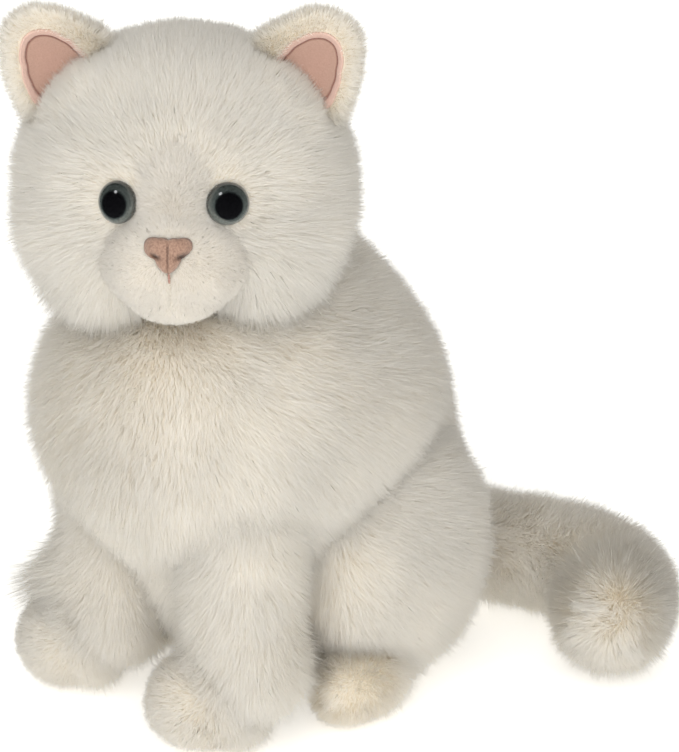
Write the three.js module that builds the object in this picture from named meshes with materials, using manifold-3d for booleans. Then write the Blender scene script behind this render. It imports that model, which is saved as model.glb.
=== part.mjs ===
// Sitting plush cat, about 305 mm tall. Millimetres, +Z up, the cat's body faces -Y, its left side is +X.
// Every fabric panel, stuffing block and hard part is its own closed mesh; sewn neighbours keep a small gap.
import * as THREE from 'three';
import { mergeVertices } from 'three/addons/utils/BufferGeometryUtils.js';
import Module from 'manifold-3d';

const wasm = await Module();
wasm.setup();
const { Manifold, Mesh } = wasm;

// ---------- driving dimensions (mm, degrees) ----------
const SEAM = 0.35;              // gap between sewn neighbours
const PILE = 8;                 // backing cloth plus laid pile, long-haired panels
const SHORT_PILE = 3.5;         // backing plus pile, muzzle and paws
const PLAY = 1.3;               // clearance at everything that turns

const HEAD_C = [-2, -33, 228];  // centre of the head, and of the neck joints
const HEAD_YAW = 41;            // the head is sewn on looking over the left shoulder
const HEAD_R = [67.5, 59, 58.5];  // half width, half depth, half height
const NECK_BALL = 57.5;           // round underside of the head
const NECK_CORE_R = 25;         // stuffed neck plug
const GUSSET_HALF = 17;         // forehead gusset half width
const BACK_SEAM_Y = 16;         // seam between face and back of head

const MUZZLE_C = [0, -49, -18];
const MUZZLE_R = [27, 24, 20.5];
const EYE_X = 20.4, EYE_Z = 6.5, EYE_Y = -52.6, EYE_R = 7.6;
const STEM_R = 2.2, STEM_L = 15;
const WASHER_R = 7.5, WASHER_T = 1.6;

const EAR_BASE = [46, -3, 37.5];  // middle of the ear's fold line, head frame
const EAR_TILT = 46;            // the ears lean outward
const EAR_W = 21.5, EAR_H = 32;   // half width at the base, height
const EAR_ROOT_R = 4.6;
const EAR_BACK = 15, EAR_FORWARD = 20;   // fold angles

const TORSO_C = [0, 6, 105];
const TORSO_LOBES = [           // centre, half sizes, lean about X in degrees
  [[0, -2, 135], [76, 84, 70], 14],
  [[0, 22, 79], [59, 82, 86], 0],
  [[0, -38, 127], [64, 51, 57], 0],
];
const BASE_T = 6.5;             // flat base panel

const HAUNCH = { c: [47, 30, 60], r: [34, 50, 57] };
const FOOT = { c: [62, -4, 17.5], r: [18.5, 26, 17.3] };

const SHOULDER_L = [38, -44, 98], SHOULDER_R = [-38, -38, 98];
const SHOULDER_BALL = 27;
const ANKLE_L = [42, -47, 33], ANKLE_R = [-31, -50, 34];
const PAW_L = [30, -61, 21], PAW_R = [-47, -62, 21.5];
const PAW = [22.8, 24, 21.2];
const LEG_SWING = 45;           // forward lift of a front leg

const TAIL_ROOT = [6, 80, 33];
const TAIL_PATH = [[6, 80, 33], [22, 98, 32], [44, 112, 30], [70, 119, 29], [92, 117, 28.5], [105, 104, 28.5], [107, 92, 28.5]];
const TAIL_RADII = [24, 26, 26.5, 26.8, 27, 27.2, 26.5];
const TAIL_IN = 5, TAIL_OUT = 30;

// ---------- helpers ----------
const rad = THREE.MathUtils.degToRad;

function solid(geometry) {
  const g = geometry.clone();
  for (const n of Object.keys(g.attributes)) if (n !== 'position') g.deleteAttribute(n);
  const m = mergeVertices(g, 1e-4);
  const p = m.attributes.position.array;
  const raw = Array.from(m.index.array);
  const idx = [];
  for (let i = 0; i < raw.length; i += 3) {
    const [a, b, c] = [raw[i], raw[i + 1], raw[i + 2]];
    if (a !== b && b !== c && c !== a) idx.push(a, b, c);
  }
  let vol = 0;
  for (let i = 0; i < idx.length; i += 3) {
    const [a, b, c] = [idx[i] * 3, idx[i + 1] * 3, idx[i + 2] * 3];
    vol += p[a] * (p[b + 1] * p[c + 2] - p[b + 2] * p[c + 1])
         - p[a + 1] * (p[b] * p[c + 2] - p[b + 2] * p[c])
         + p[a + 2] * (p[b] * p[c + 1] - p[b + 1] * p[c]);
  }
  if (vol < 0) for (let i = 0; i < idx.length; i += 3) [idx[i + 1], idx[i + 2]] = [idx[i + 2], idx[i + 1]];
  return new Manifold(new Mesh({ numProp: 3, vertProperties: new Float32Array(p), triVerts: new Uint32Array(idx) }));
}

function ellipsoid(c, r, w = 16, h = 10, rot = null) {
  const g = new THREE.SphereGeometry(1, w, h);
  g.rotateX(Math.PI / 2);
  g.scale(...r);
  if (rot) g.applyMatrix4(new THREE.Matrix4().makeRotationFromEuler(new THREE.Euler(rad(rot[0]), rad(rot[1]), rad(rot[2]))));
  g.translate(...c);
  return solid(g);
}

function box(x0, x1, y0, y1, z0, z1) {
  const g = new THREE.BoxGeometry(x1 - x0, y1 - y0, z1 - z0);
  g.translate((x0 + x1) / 2, (y0 + y1) / 2, (z0 + z1) / 2);
  return solid(g);
}

// cylinder from a to b
function rod(a, b, r0, r1 = r0, seg = 12) {
  const A = new THREE.Vector3(...a), B = new THREE.Vector3(...b);
  const d = B.clone().sub(A);
  const g = new THREE.CylinderGeometry(r1, r0, d.length(), seg);
  g.applyQuaternion(new THREE.Quaternion().setFromUnitVectors(new THREE.Vector3(0, 1, 0), d.clone().normalize()));
  g.translate(...A.clone().add(B).multiplyScalar(0.5).toArray());
  return solid(g);
}

// a sphere drawn out along a path: round ends, its own radius at each path point, grown by `grow`
function sweep(path, radii, w, h, grow = 0, ref = [0, 0, 1]) {
  const curve = new THREE.CatmullRomCurve3(path.map((q) => new THREE.Vector3(...q)));
  const g = new THREE.SphereGeometry(1, w, h);
  const pos = g.attributes.position;
  const n = path.length - 1;
  const R = (t) => {
    const k = Math.min(n - 1e-6, Math.max(0, t * n)), i = Math.floor(k), f = k - i;
    return radii[i] * (1 - f) + radii[i + 1] * f + grow;
  };
  const len = curve.getLength();
  const r0 = R(0), r1 = R(1), total = r0 + len + r1;
  for (let iy = 0; iy <= h; iy++) {
    // rows crowd toward the round ends
    const capRows = Math.max(3, Math.round(h * 0.24));
    let s;
    if (iy <= capRows) s = r0 * (1 - Math.cos((iy / capRows) * Math.PI / 2));
    else if (iy >= h - capRows) s = total - r1 * (1 - Math.cos(((h - iy) / capRows) * Math.PI / 2));
    else s = r0 + len * ((iy - capRows) / (h - 2 * capRows));
    let t, off, rr;
    if (s < r0) { t = 0; off = s - r0; rr = Math.sqrt(Math.max(0, r0 * r0 - off * off)); }
    else if (s > total - r1) { t = 1; off = s - (total - r1); rr = Math.sqrt(Math.max(0, r1 * r1 - off * off)); }
    else { t = (s - r0) / len; off = 0; rr = R(t); }
    const p = curve.getPoint(t), T = curve.getTangent(t);
    const N = new THREE.Vector3().crossVectors(T, new THREE.Vector3(...ref)).normalize();
    const B = new THREE.Vector3().crossVectors(T, N).normalize();
    if (iy === 0 || iy === h) rr = 0;
    for (let ix = 0; ix <= w; ix++) {
      const a = ((ix % w) / w) * Math.PI * 2;
      const q = p.clone().addScaledVector(T, off).addScaledVector(N, Math.cos(a) * rr).addScaledVector(B, Math.sin(a) * rr);
      pos.setXYZ(iy * (w + 1) + ix, q.x, q.y, q.z);
    }
  }
  return solid(g);
}

// rounded body blended from several ellipsoids, all seen from one inner point
function blended(center, lobes, inset, w, h) {
  const g = new THREE.SphereGeometry(1, w, h);
  g.rotateX(Math.PI / 2);
  const pos = g.attributes.position;
  const v = new THREE.Vector3();
  const prepared = lobes.map(([c, r, lean]) => {
    const q = new THREE.Quaternion().setFromEuler(new THREE.Euler(rad(-lean), 0, 0));
    const o = new THREE.Vector3(...center).sub(new THREE.Vector3(...c)).applyQuaternion(q).divide(new THREE.Vector3(...r));
    return { q, o, r: new THREE.Vector3(...r) };
  });
  for (let i = 0; i < pos.count; i++) {
    v.fromBufferAttribute(pos, i).normalize();
    let sum = 0;
    for (const L of prepared) {
      const d = v.clone().applyQuaternion(L.q).divide(L.r);
      const A = d.dot(d), B = d.dot(L.o), C = L.o.dot(L.o) - 1;
      const disc = B * B - A * C;
      if (disc <= 0) continue;
      const t = (-B + Math.sqrt(disc)) / A;
      if (t > 0) sum += Math.pow(t, 9);
    }
    v.multiplyScalar(Math.pow(sum, 1 / 9) - inset);
    pos.setXYZ(i, v.x + center[0], v.y + center[1], v.z + center[2]);
  }
  return solid(g);
}

const union = (...a) => a.reduce((p, q) => p.add(q));
const turned = (m, about, rx, ry, rz) => m.translate([-about[0], -about[1], -about[2]]).rotate([rx, ry, rz]).translate(about);
const toWorld = (m) => m.rotate([0, 0, HEAD_YAW]).translate(HEAD_C);   // head frame to cat frame
const toHead = (m) => m.translate([-HEAD_C[0], -HEAD_C[1], -HEAD_C[2]]).rotate([0, 0, -HEAD_YAW]);
const mirrorX = (m) => m.scale([-1, 1, 1]);

const group = new THREE.Group();
group.name = 'plush_cat';

const LOOK = {
  pile: [0xf1ece2, 0.95], pileDark: [0xe6dfd2, 0.95], short: [0xefe9df, 0.9], pink: [0xd9b4aa, 0.85],
  nose: [0xc39a86, 0.85], thread: [0xb98a7c, 0.8], eye: [0x2a3034, 0.08], washer: [0xf4f4f0, 0.4],
  fill: [0xfafafa, 1.0], bag: [0xcfc9bd, 0.9],
};

function put(name, m, look) {
  const parts = m.decompose();
  parts.sort((a, b) => b.volume() - a.volume());
  const keep = parts[0];                           // crumbs left by a cut are dropped
  const out = keep.getMesh();
  const g = new THREE.BufferGeometry();
  const n = out.numProp, src = out.vertProperties, verts = new Float32Array((src.length / n) * 3);
  for (let i = 0; i < src.length / n; i++) for (let k = 0; k < 3; k++) verts[i * 3 + k] = src[i * n + k];
  g.setAttribute('position', new THREE.BufferAttribute(verts, 3));
  g.setIndex(new THREE.BufferAttribute(new Uint32Array(out.triVerts), 1));
  g.computeVertexNormals();
  const [color, roughness] = LOOK[look];
  const mesh = new THREE.Mesh(g, new THREE.MeshStandardMaterial({ color, roughness, metalness: 0 }));
  mesh.name = name;
  group.add(mesh);
}

// ---------- shared shapes ----------
const headCut = (grow) => {
  // head outline whose underside is a ball about the neck joint, so it turns and nods without touching the shoulders
  const egg = ellipsoid([0, 0, 0], HEAD_R.map((v) => v + grow), 20, 14);
  const ball = ellipsoid([0, 0, 0], [NECK_BALL + grow, NECK_BALL + grow, NECK_BALL + grow], 20, 14);
  const upper = box(-90, 90, -90, 90, -20, 90);
  return egg.intersect(union(ball, upper));
};
const headOuter = headCut(0);
const headInner = headCut(-PILE);
const headFill = headCut(-PILE - SEAM);

const muzzleOuter = ellipsoid(MUZZLE_C, MUZZLE_R);
const muzzleInner = ellipsoid(MUZZLE_C, MUZZLE_R.map((v) => v - SHORT_PILE));
const muzzleFill = ellipsoid(MUZZLE_C, MUZZLE_R.map((v) => v - SHORT_PILE - SEAM));
const muzzleHole = ellipsoid(MUZZLE_C, MUZZLE_R.map((v) => v + SEAM));

const eyeAxis = (sx) => {
  const n = new THREE.Vector3(sx * EYE_X / (HEAD_R[0] ** 2), EYE_Y / (HEAD_R[1] ** 2), EYE_Z / (HEAD_R[2] ** 2)).normalize();
  n.x *= 0.75; n.z *= 0.5; n.normalize();
  return n;
};
const eyeSolid = (sx, grow) => {
  const n = eyeAxis(sx), c = [sx * EYE_X, EYE_Y, EYE_Z];
  const back = n.clone().multiplyScalar(-(STEM_L + grow)).add(new THREE.Vector3(...c)).toArray();
  const dome = ellipsoid(c, [EYE_R + grow, EYE_R + grow, EYE_R + grow], 12, 8)
    .subtract(rod(n.clone().multiplyScalar(-30).add(new THREE.Vector3(...c)).toArray(), n.clone().multiplyScalar(-2.5 - grow).add(new THREE.Vector3(...c)).toArray(), 12));
  return union(dome, rod(back, n.clone().multiplyScalar(-1).add(new THREE.Vector3(...c)).toArray(), STEM_R + grow, STEM_R + grow, 8));
};
const washerSolid = (sx, grow) => {
  const n = eyeAxis(sx), c = new THREE.Vector3(sx * EYE_X, EYE_Y, EYE_Z);
  const at = (d) => c.clone().addScaledVector(n, -d).toArray();
  return rod(at(10.2 - grow), at(10.2 + WASHER_T + grow), WASHER_R + grow, WASHER_R + grow, 12);
};

// ear, built upright on its fold line at the origin, front toward -Y, then leaned and moved
function earLayer(y0, y1, w, h, top, grow = 0, ws = 14, hs = 8) {
  const g = new THREE.SphereGeometry(1, ws, hs);
  g.rotateX(Math.PI / 2);
  const pos = g.attributes.position;
  for (let i = 0; i < pos.count; i++) {
    let x = pos.getX(i), y = pos.getY(i), z = pos.getZ(i);
    const u = (z + 1) / 2;                                 // 0 at the base, 1 at the tip
    const half = (w + grow) * (1.02 - 0.42 * u * u);
    const Z = -2.2 - grow + (h + 2.2 + 2 * grow) * u - top;
    const wide = z < 0 ? 1 / Math.sqrt(Math.max(0.2, Math.sqrt(1 - z * z))) : 1;   // stays broad down to the fold
    const X = x * wide * half - 0.15 * Math.max(0, Z);    // fuller toward the crown
    const mid = (y0 + y1) / 2, t = (y1 - y0) / 2 + grow;
    const cup = 3.4 * Math.min(1, u * 2.2) * (x * x);      // edges curl forward
    pos.setXYZ(i, X, mid + y * t - cup + 1.2 * Math.min(1, u * 2), Z);
  }
  return solid(g);
}
const placeEar = (m, sx) => {
  let q = m.rotate([6, 0, 0]).rotate([0, EAR_TILT, 0]).rotate([0, 0, -8]).translate(EAR_BASE);
  return sx > 0 ? q : mirrorX(q);
};
const earAxisDir = new THREE.Vector3(1, 0, 0).applyEuler(new THREE.Euler(rad(6), 0, 0)).applyEuler(new THREE.Euler(0, rad(EAR_TILT), 0)).applyEuler(new THREE.Euler(0, 0, rad(-8)));
const earRoot = (sx, grow) => {
  const a = new THREE.Vector3(...EAR_BASE).addScaledVector(earAxisDir, -EAR_W + 5 - grow);
  const b = new THREE.Vector3(...EAR_BASE).addScaledVector(earAxisDir, EAR_W - 5 + grow);
  const q = rod(a.toArray(), b.toArray(), EAR_ROOT_R + grow, EAR_ROOT_R + grow, 8);
  return sx > 0 ? q : mirrorX(q);
};

// room for the ear's rolled root and for its plate as it folds
const earRoom = (sx) => {
  let m = earRoot(sx, PLAY);
  for (const a of [-EAR_BACK, 0, EAR_FORWARD]) m = m.add(placeEar(earLayer(-3.4, 6.0, EAR_W, EAR_H, 0, 1.7, 10, 6).rotate([a, 0, 0]), sx));
  return m;
};

// ---------- head ----------
{
  let shell = headOuter.subtract(headInner).subtract(muzzleHole);
  for (const sx of [1, -1]) {
    shell = shell.subtract(eyeSolid(sx, SEAM));
    shell = shell.subtract(earRoom(sx));
  }
  const g = GUSSET_HALF, s = SEAM / 2;
  const chin = box(-26, 26, -90, BACK_SEAM_Y, -90, -22);
  const chinGap = box(-26 - SEAM, 26 + SEAM, -91, BACK_SEAM_Y + 1, -91, -22 + SEAM);
  const face = shell.intersect(box(-90, 90, -90, BACK_SEAM_Y - s, -90, 90)).subtract(chinGap);
  const rear = shell.intersect(box(-90, 90, BACK_SEAM_Y + s, 90, -90, 90));
  put('head_side_left', toWorld(face.intersect(box(g + s, 90, -90, 90, -90, 90))), 'pile');
  put('head_side_right', toWorld(face.intersect(box(-90, -g - s, -90, 90, -90, 90))), 'pile');
  put('forehead_gusset', toWorld(face.intersect(box(-g + s, g - s, -90, 90, -90, 90))), 'pile');
  put('head_back_left', toWorld(rear.intersect(box(s, 90, -90, 90, -90, 90))), 'pile');
  put('head_back_right', toWorld(rear.intersect(box(-90, -s, -90, 90, -90, 90))), 'pile');
  put('chin_panel', toWorld(shell.intersect(chin.intersect(box(-90, 90, -90, BACK_SEAM_Y - s, -90, 90)))), 'pile');
}
{
  const front = box(-60, 60, -90, -34, -60, 60);
  let cover = muzzleOuter.subtract(muzzleInner).intersect(front);
  for (const sx of [1, -1]) cover = cover.subtract(eyeSolid(sx, SEAM)).subtract(washerSolid(sx, 0.6));
  put('muzzle_cover', toWorld(cover), 'short');
  let fill = union(headFill, muzzleFill);
  // keep the fill clear of the muzzle cover's inner rim
  fill = fill.subtract(ellipsoid(MUZZLE_C, MUZZLE_R.map((v) => v + SEAM)).subtract(muzzleFill).intersect(box(-60, 60, -90, -33, -60, 60)));
  for (const sx of [1, -1]) {
    fill = fill.subtract(eyeSolid(sx, SEAM)).subtract(washerSolid(sx, SEAM)).subtract(earRoom(sx));
  }
  put('head_stuffing', toWorld(fill), 'fill');
}
for (const [side, sx] of [['left', 1], ['right', -1]]) {
  put(`eye_${side}`, toWorld(eyeSolid(sx, 0)), 'eye');
  put(`eye_washer_${side}`, toWorld(washerSolid(sx, 0).subtract(eyeSolid(sx, 0.15))), 'washer');
}
{
  // nose pad: rounded triangle lying on the front of the muzzle
  const shape = new THREE.Shape();
  shape.moveTo(-8.0, 4.6);
  shape.quadraticCurveTo(0, 6.4, 8.0, 4.6);
  shape.quadraticCurveTo(9.6, 3.6, 8.2, 1.6);
  shape.quadraticCurveTo(5.0, -3.4, 1.4, -6.0);
  shape.quadraticCurveTo(0, -6.9, -1.4, -6.0);
  shape.quadraticCurveTo(-5.0, -3.4, -8.2, 1.6);
  shape.quadraticCurveTo(-9.6, 3.6, -8.0, 4.6);
  const g = new THREE.ExtrudeGeometry(shape, { depth: 5.5, bevelEnabled: true, bevelThickness: 1.1, bevelSize: 0.9, bevelSegments: 1, curveSegments: 3 });
  g.scale(0.9, 0.88, 1);
  g.rotateX(Math.PI / 2);                 // outward normal toward -Y
  const pad = solid(g).rotate([-24, 0, 0]).translate([0, MUZZLE_C[1] - MUZZLE_R[1] + 5.4, MUZZLE_C[2] + 10.3]);
  put('nose_pad', toWorld(pad.subtract(muzzleHole)), 'nose');
}
{
  const pts = [];
  for (let i = 0; i <= 4; i++) {
    const z = 1.0 - i * 2.1;
    const k = Math.sqrt(1 - (z / MUZZLE_R[2]) ** 2);
    pts.push([0, MUZZLE_C[1] - MUZZLE_R[1] * k - 1.15, MUZZLE_C[2] + z]);
  }
  put('mouth_stitch', toWorld(sweep(pts, pts.map(() => 0.55), 8, 12, 0, [1, 0, 0]).subtract(muzzleHole)), 'thread');
}
for (const [side, sx] of [['left', 1], ['right', -1]]) {
  const root = earRoot(1, 0).translate([-EAR_BASE[0], -EAR_BASE[1], -EAR_BASE[2]]);
  const unlean = (m) => m.rotate([0, 0, 8]).rotate([0, -EAR_TILT, 0]).rotate([-6, 0, 0]);
  const rootLocal = unlean(root);
  const back = earLayer(0.2, 5.4, EAR_W, EAR_H, 0);
  const front = earLayer(-3.0, 1.2, EAR_W - 3.2, EAR_H - 4.5, 0);
  const frontGap = earLayer(-8.0, 1.2 + SEAM, EAR_W - 3.2, EAR_H - 4.5, 0, SEAM);
  const lowBack = box(-60, 60, -0.2, 30, -20, 4.2), lowFront = box(-60, 60, -30, -0.2 - SEAM, -20, 4.2);
  const rootBack = rootLocal.intersect(lowBack), rootFront = rootLocal.intersect(lowFront).intersect(box(-EAR_W, EAR_W, -30, 30, -30, 30));
  const above = box(-60, 60, -60, 60, 0.5, 90);
  const backAll = union(back.intersect(above), rootBack).subtract(frontGap.intersect(above)).subtract(rootLocal.intersect(box(-60, 60, -30, -0.2, -20, 4.2)));
  const frontAll = union(front.intersect(box(-60, 60, -60, 60, 2.0, 90)), rootFront);
  put(`ear_back_${side}`, toWorld(placeEar(backAll, sx)), 'pile');
  put(`ear_lining_${side}`, toWorld(placeEar(frontAll.subtract(backAll), sx)), 'pink');
}

// ---------- neck ----------
const neckBallGap = ellipsoid(HEAD_C, [NECK_BALL + PLAY + 0.5, NECK_BALL + PLAY + 0.5, NECK_BALL + PLAY + 0.5], 20, 14);
// the nape and cheeks dip a little when the head nods
const nodRoom = ellipsoid(HEAD_C, [HEAD_R[0] + 3, HEAD_R[0] + 3, HEAD_R[0] + 3], 20, 14).intersect(box(-300, 300, -300, 300, HEAD_C[2] - 35, 400));
{
  const low = HEAD_C[2] - NECK_BALL - 26, top = HEAD_C[2] - 40;
  const core = rod([HEAD_C[0], HEAD_C[1], low], [HEAD_C[0], HEAD_C[1], top], NECK_CORE_R, NECK_CORE_R, 16).subtract(neckBallGap);
  put('neck_stuffing', core, 'fill');
  const sleeve = rod([HEAD_C[0], HEAD_C[1], low + 3], [HEAD_C[0], HEAD_C[1], top], NECK_CORE_R + 4, NECK_CORE_R + 4, 16)
    .subtract(rod([HEAD_C[0], HEAD_C[1], low - 9], [HEAD_C[0], HEAD_C[1], top + 9], NECK_CORE_R + SEAM, NECK_CORE_R + SEAM, 16))
    .subtract(neckBallGap);
  put('neck_sleeve', sleeve, 'pile');
}
const neckWell = rod([HEAD_C[0], HEAD_C[1], HEAD_C[2] - NECK_BALL - 26 - PLAY], [HEAD_C[0], HEAD_C[1], HEAD_C[2] + 20], NECK_CORE_R + 4 + PLAY + 0.5, NECK_CORE_R + 4 + PLAY + 0.5, 16);

// ---------- front legs ----------
function frontLeg(side, S, A, P) {
  const path = [S, [(S[0] + A[0]) / 2, (S[1] + A[1]) / 2 - 1, (S[2] + A[2]) / 2], A];
  const leg = (grow) => union(
    sweep(path, [SHOULDER_BALL, 25.5, 22], 12, 9, grow, [0, 1, 0]),
    ellipsoid(P, PAW.map((v) => v + grow), 12, 8));
  const floor = box(-300, 300, -300, 300, 0, 300);
  const outer = leg(0).intersect(floor), inner = leg(-PILE), fill = leg(-PILE - SEAM);
  const shell = outer.subtract(inner);
  const pawZone = (g) => ellipsoid([P[0], P[1] - 6, P[2] - 4], [40 + g, 36 + g, 25 + g], 10, 6);
  const mid = S[0] * 0.5 + P[0] * 0.5;
  const out = S[0] > 0 ? [mid + SEAM / 2, 300] : [-300, mid - SEAM / 2];
  const inn = S[0] > 0 ? [-300, mid - SEAM / 2] : [mid + SEAM / 2, 300];
  const upper = shell.subtract(pawZone(SEAM));
  put(`front_leg_outer_${side}`, upper.intersect(box(out[0], out[1], -300, 300, -10, 300)), 'pile');
  put(`front_leg_inner_${side}`, upper.intersect(box(inn[0], inn[1], -300, 300, -10, 300)), 'pile');
  put(`front_paw_${side}`, shell.intersect(pawZone(0)), 'short');
  put(`front_leg_stuffing_${side}`, fill, 'fill');
  // room the leg sweeps as it lifts forward about X through the shoulder
  const W = 27 + PLAY;
  const reach = 118;
  const disc = rod([S[0] - W + Math.min(0, P[0] - S[0] + 4, A[0] - S[0] + 4), S[1], S[2]], [S[0] + W + Math.max(0, P[0] - S[0] - 4, A[0] - S[0] - 4), S[1], S[2]], reach, reach, 16);
  const slab = (deg, y0, y1) => turned(box(S[0] - 200, S[0] + 200, S[1] + y0, S[1] + y1, S[2] - 200, S[2] + 200), S, deg, 0, 0);
  const restLean = THREE.MathUtils.radToDeg(Math.atan2(S[1] - P[1], S[2] - P[2]));
  const backLean = Math.min(restLean, THREE.MathUtils.radToDeg(Math.atan2(S[1] - A[1], S[2] - A[2])));
  // half spaces: behind the leg at rest, above the leg when lifted
  const keepFront = slab(-backLean, -300, SHOULDER_BALL + PLAY);
  const keepLow = turned(box(S[0] - 200, S[0] + 200, S[1] - (SHOULDER_BALL + PLAY), S[1] + 300, S[2] - 300, S[2] + 300), S, -(LEG_SWING + restLean), 0, 0);
  const room = disc.intersect(keepFront).intersect(keepLow);
  const ball = ellipsoid(S, [SHOULDER_BALL + PLAY + 0.4, SHOULDER_BALL + PLAY + 0.4, SHOULDER_BALL + PLAY + 0.4], 14, 10);
  return { room: union(room, ball), outer, leg };
}
const legL = frontLeg('left', SHOULDER_L, ANKLE_L, PAW_L);
const legR = frontLeg('right', SHOULDER_R, ANKLE_R, PAW_R);

// ---------- tail ----------
const tailShape = (grow, w = 12, h = 17) => sweep(TAIL_PATH, TAIL_RADII, w, h, grow);
const tailBall = ellipsoid(TAIL_ROOT, [24 + PLAY + 0.4, 24 + PLAY + 0.4, 24 + PLAY + 0.4], 14, 10);
let tailRoom = tailBall;
const tailStub = tailShape(PLAY + 2.0, 10, 12).intersect(box(-60, 62, 30, 160, -20, 90));
tailRoom = union(tailRoom, turned(tailShape(PLAY + 0.9, 10, 12), TAIL_ROOT, 0, 0, -TAIL_IN));
for (const a of [4, 17, TAIL_OUT]) tailRoom = union(tailRoom, turned(tailStub, TAIL_ROOT, 0, 0, a));
{
  const shell = tailShape(0).subtract(tailShape(-PILE));
  const cut = TAIL_ROOT[2] - 1.5;
  put('tail_upper', shell.intersect(box(-300, 300, -300, 300, cut + SEAM / 2, 300)), 'pile');
  put('tail_lower', shell.intersect(box(-300, 300, -300, 300, -10, cut - SEAM / 2)), 'pileDark');
  put('tail_stuffing', tailShape(-PILE - SEAM), 'fill');
}

// ---------- torso ----------
const torsoOuter = blended(TORSO_C, TORSO_LOBES, 0, 22, 15).intersect(box(-300, 300, -300, 300, 0, 300));
const torsoGap = blended(TORSO_C, TORSO_LOBES, -SEAM, 22, 15);
const torsoInner = blended(TORSO_C, TORSO_LOBES, PILE, 22, 15).intersect(box(-300, 300, -300, 300, BASE_T, 300));
const torsoFill = blended(TORSO_C, TORSO_LOBES, PILE + SEAM, 22, 15).intersect(box(-300, 300, -300, 300, BASE_T + SEAM, 300));
const rooms = union(neckBallGap, nodRoom, neckWell, legL.room, legR.room, tailRoom);
const fillRooms = union(neckBallGap, nodRoom, neckWell, legL.room, legR.room, ellipsoid([TAIL_ROOT[0], TAIL_ROOT[1] + 4, TAIL_ROOT[2] + 1], [34, 34, 33], 12, 7));
{
  const s = SEAM / 2;
  const shell = torsoOuter.subtract(torsoInner).subtract(rooms);
  const wall = shell.intersect(box(-300, 300, -300, 300, BASE_T + s, 300));
  const chest = box(-37, 37, -300, -12, 30, 300), chestGap = box(-37 - SEAM, 37 + SEAM, -300, -12 + SEAM, 30 - SEAM, 300);
  const sides = wall.subtract(chestGap);
  put('torso_side_left', sides.intersect(box(s, 300, -300, 300, 0, 300)), 'pile');
  put('torso_side_right', sides.intersect(box(-300, -s, -300, 300, 0, 300)), 'pile');
  put('chest_panel', wall.intersect(chest), 'pile');
  put('base_panel', torsoOuter.intersect(box(-300, 300, -300, 300, 0, BASE_T - s)).subtract(rooms), 'pileDark');
  const bag = ellipsoid([0, 17, 22], [24, 31, 19], 12, 7).intersect(box(-300, 300, -300, 300, BASE_T + SEAM, 300));
  const bagRoom = ellipsoid([0, 17, 22], [24 + SEAM, 31 + SEAM, 19 + SEAM], 12, 7);
  put('body_stuffing', torsoFill.subtract(fillRooms).subtract(bagRoom), 'fill');
  put('pellet_bag', bag.subtract(rooms), 'bag');
}

// ---------- haunches and hind feet ----------
// the front legs pass close in front of the hind feet, so the feet clear the legs' real sweep
let legSweep = null;
for (const [L, S] of [[legL, SHOULDER_L], [legR, SHOULDER_R]])
  for (const a of [0, -8, -16]) {
    const m = turned(L.leg(PLAY), S, a, 0, 0);
    legSweep = legSweep ? union(legSweep, m) : m;
  }
for (const [side, sx] of [['left', 1], ['right', -1]]) {
  const C = [sx * HAUNCH.c[0], HAUNCH.c[1], HAUNCH.c[2]];
  const F = [sx * FOOT.c[0], FOOT.c[1], FOOT.c[2]];
  const E = (g) => ellipsoid(C, HAUNCH.r.map((v) => v + g), 16, 10);
  const foot = (g) => ellipsoid(F, FOOT.r.map((v) => v + g), 14, 8, [0, 0, sx * 8]);
  const floor = box(-300, 300, -300, 300, 0.2, 300);
  const clear = (m) => m.subtract(torsoGap).subtract(rooms).intersect(floor);
  const half = sx > 0 ? box(20, 300, -300, 300, -10, 300) : box(-300, -20, -300, 300, -10, 300);
  put(`haunch_${side}`, clear(E(0).subtract(E(-PILE))).subtract(foot(SEAM)).intersect(half), 'pile');
  put(`haunch_stuffing_${side}`, clear(E(-PILE - SEAM)).subtract(foot(SEAM)).intersect(half), 'fill');
  const sole = box(-300, 300, -300, 300, 0.2, 7);
  const clearFoot = (m) => m.subtract(torsoGap).subtract(legSweep).intersect(floor);
  const footShell = clearFoot(foot(0));
  put(`hind_foot_${side}`, footShell.subtract(foot(-4.5)).intersect(box(-300, 300, -300, 300, 7 + SEAM, 300)), 'short');
  put(`hind_foot_sole_${side}`, footShell.intersect(sole), 'short');
  put(`hind_foot_stuffing_${side}`, clearFoot(foot(-4.5 - SEAM)).intersect(box(-300, 300, -300, 300, 7 + SEAM, 300)), 'fill');
}

export default group;
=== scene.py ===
"""Sitting plush cat: skins, pile, eyes, nose, ears, floor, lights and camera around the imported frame."""
import bpy
import math
import numpy as np
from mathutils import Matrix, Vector, kdtree


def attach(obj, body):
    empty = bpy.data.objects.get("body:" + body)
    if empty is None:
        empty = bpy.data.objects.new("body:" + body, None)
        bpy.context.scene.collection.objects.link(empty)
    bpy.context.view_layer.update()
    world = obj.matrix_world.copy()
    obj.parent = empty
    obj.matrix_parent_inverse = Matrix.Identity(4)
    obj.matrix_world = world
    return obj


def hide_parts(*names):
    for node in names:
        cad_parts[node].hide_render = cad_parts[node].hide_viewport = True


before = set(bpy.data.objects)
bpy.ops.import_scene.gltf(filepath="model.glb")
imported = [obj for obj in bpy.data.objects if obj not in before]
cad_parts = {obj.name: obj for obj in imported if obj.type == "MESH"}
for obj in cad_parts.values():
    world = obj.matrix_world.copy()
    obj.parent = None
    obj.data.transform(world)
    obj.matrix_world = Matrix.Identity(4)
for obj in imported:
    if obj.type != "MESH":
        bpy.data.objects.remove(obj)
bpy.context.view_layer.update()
MM = 0.001
DENSE = 1.0

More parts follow.
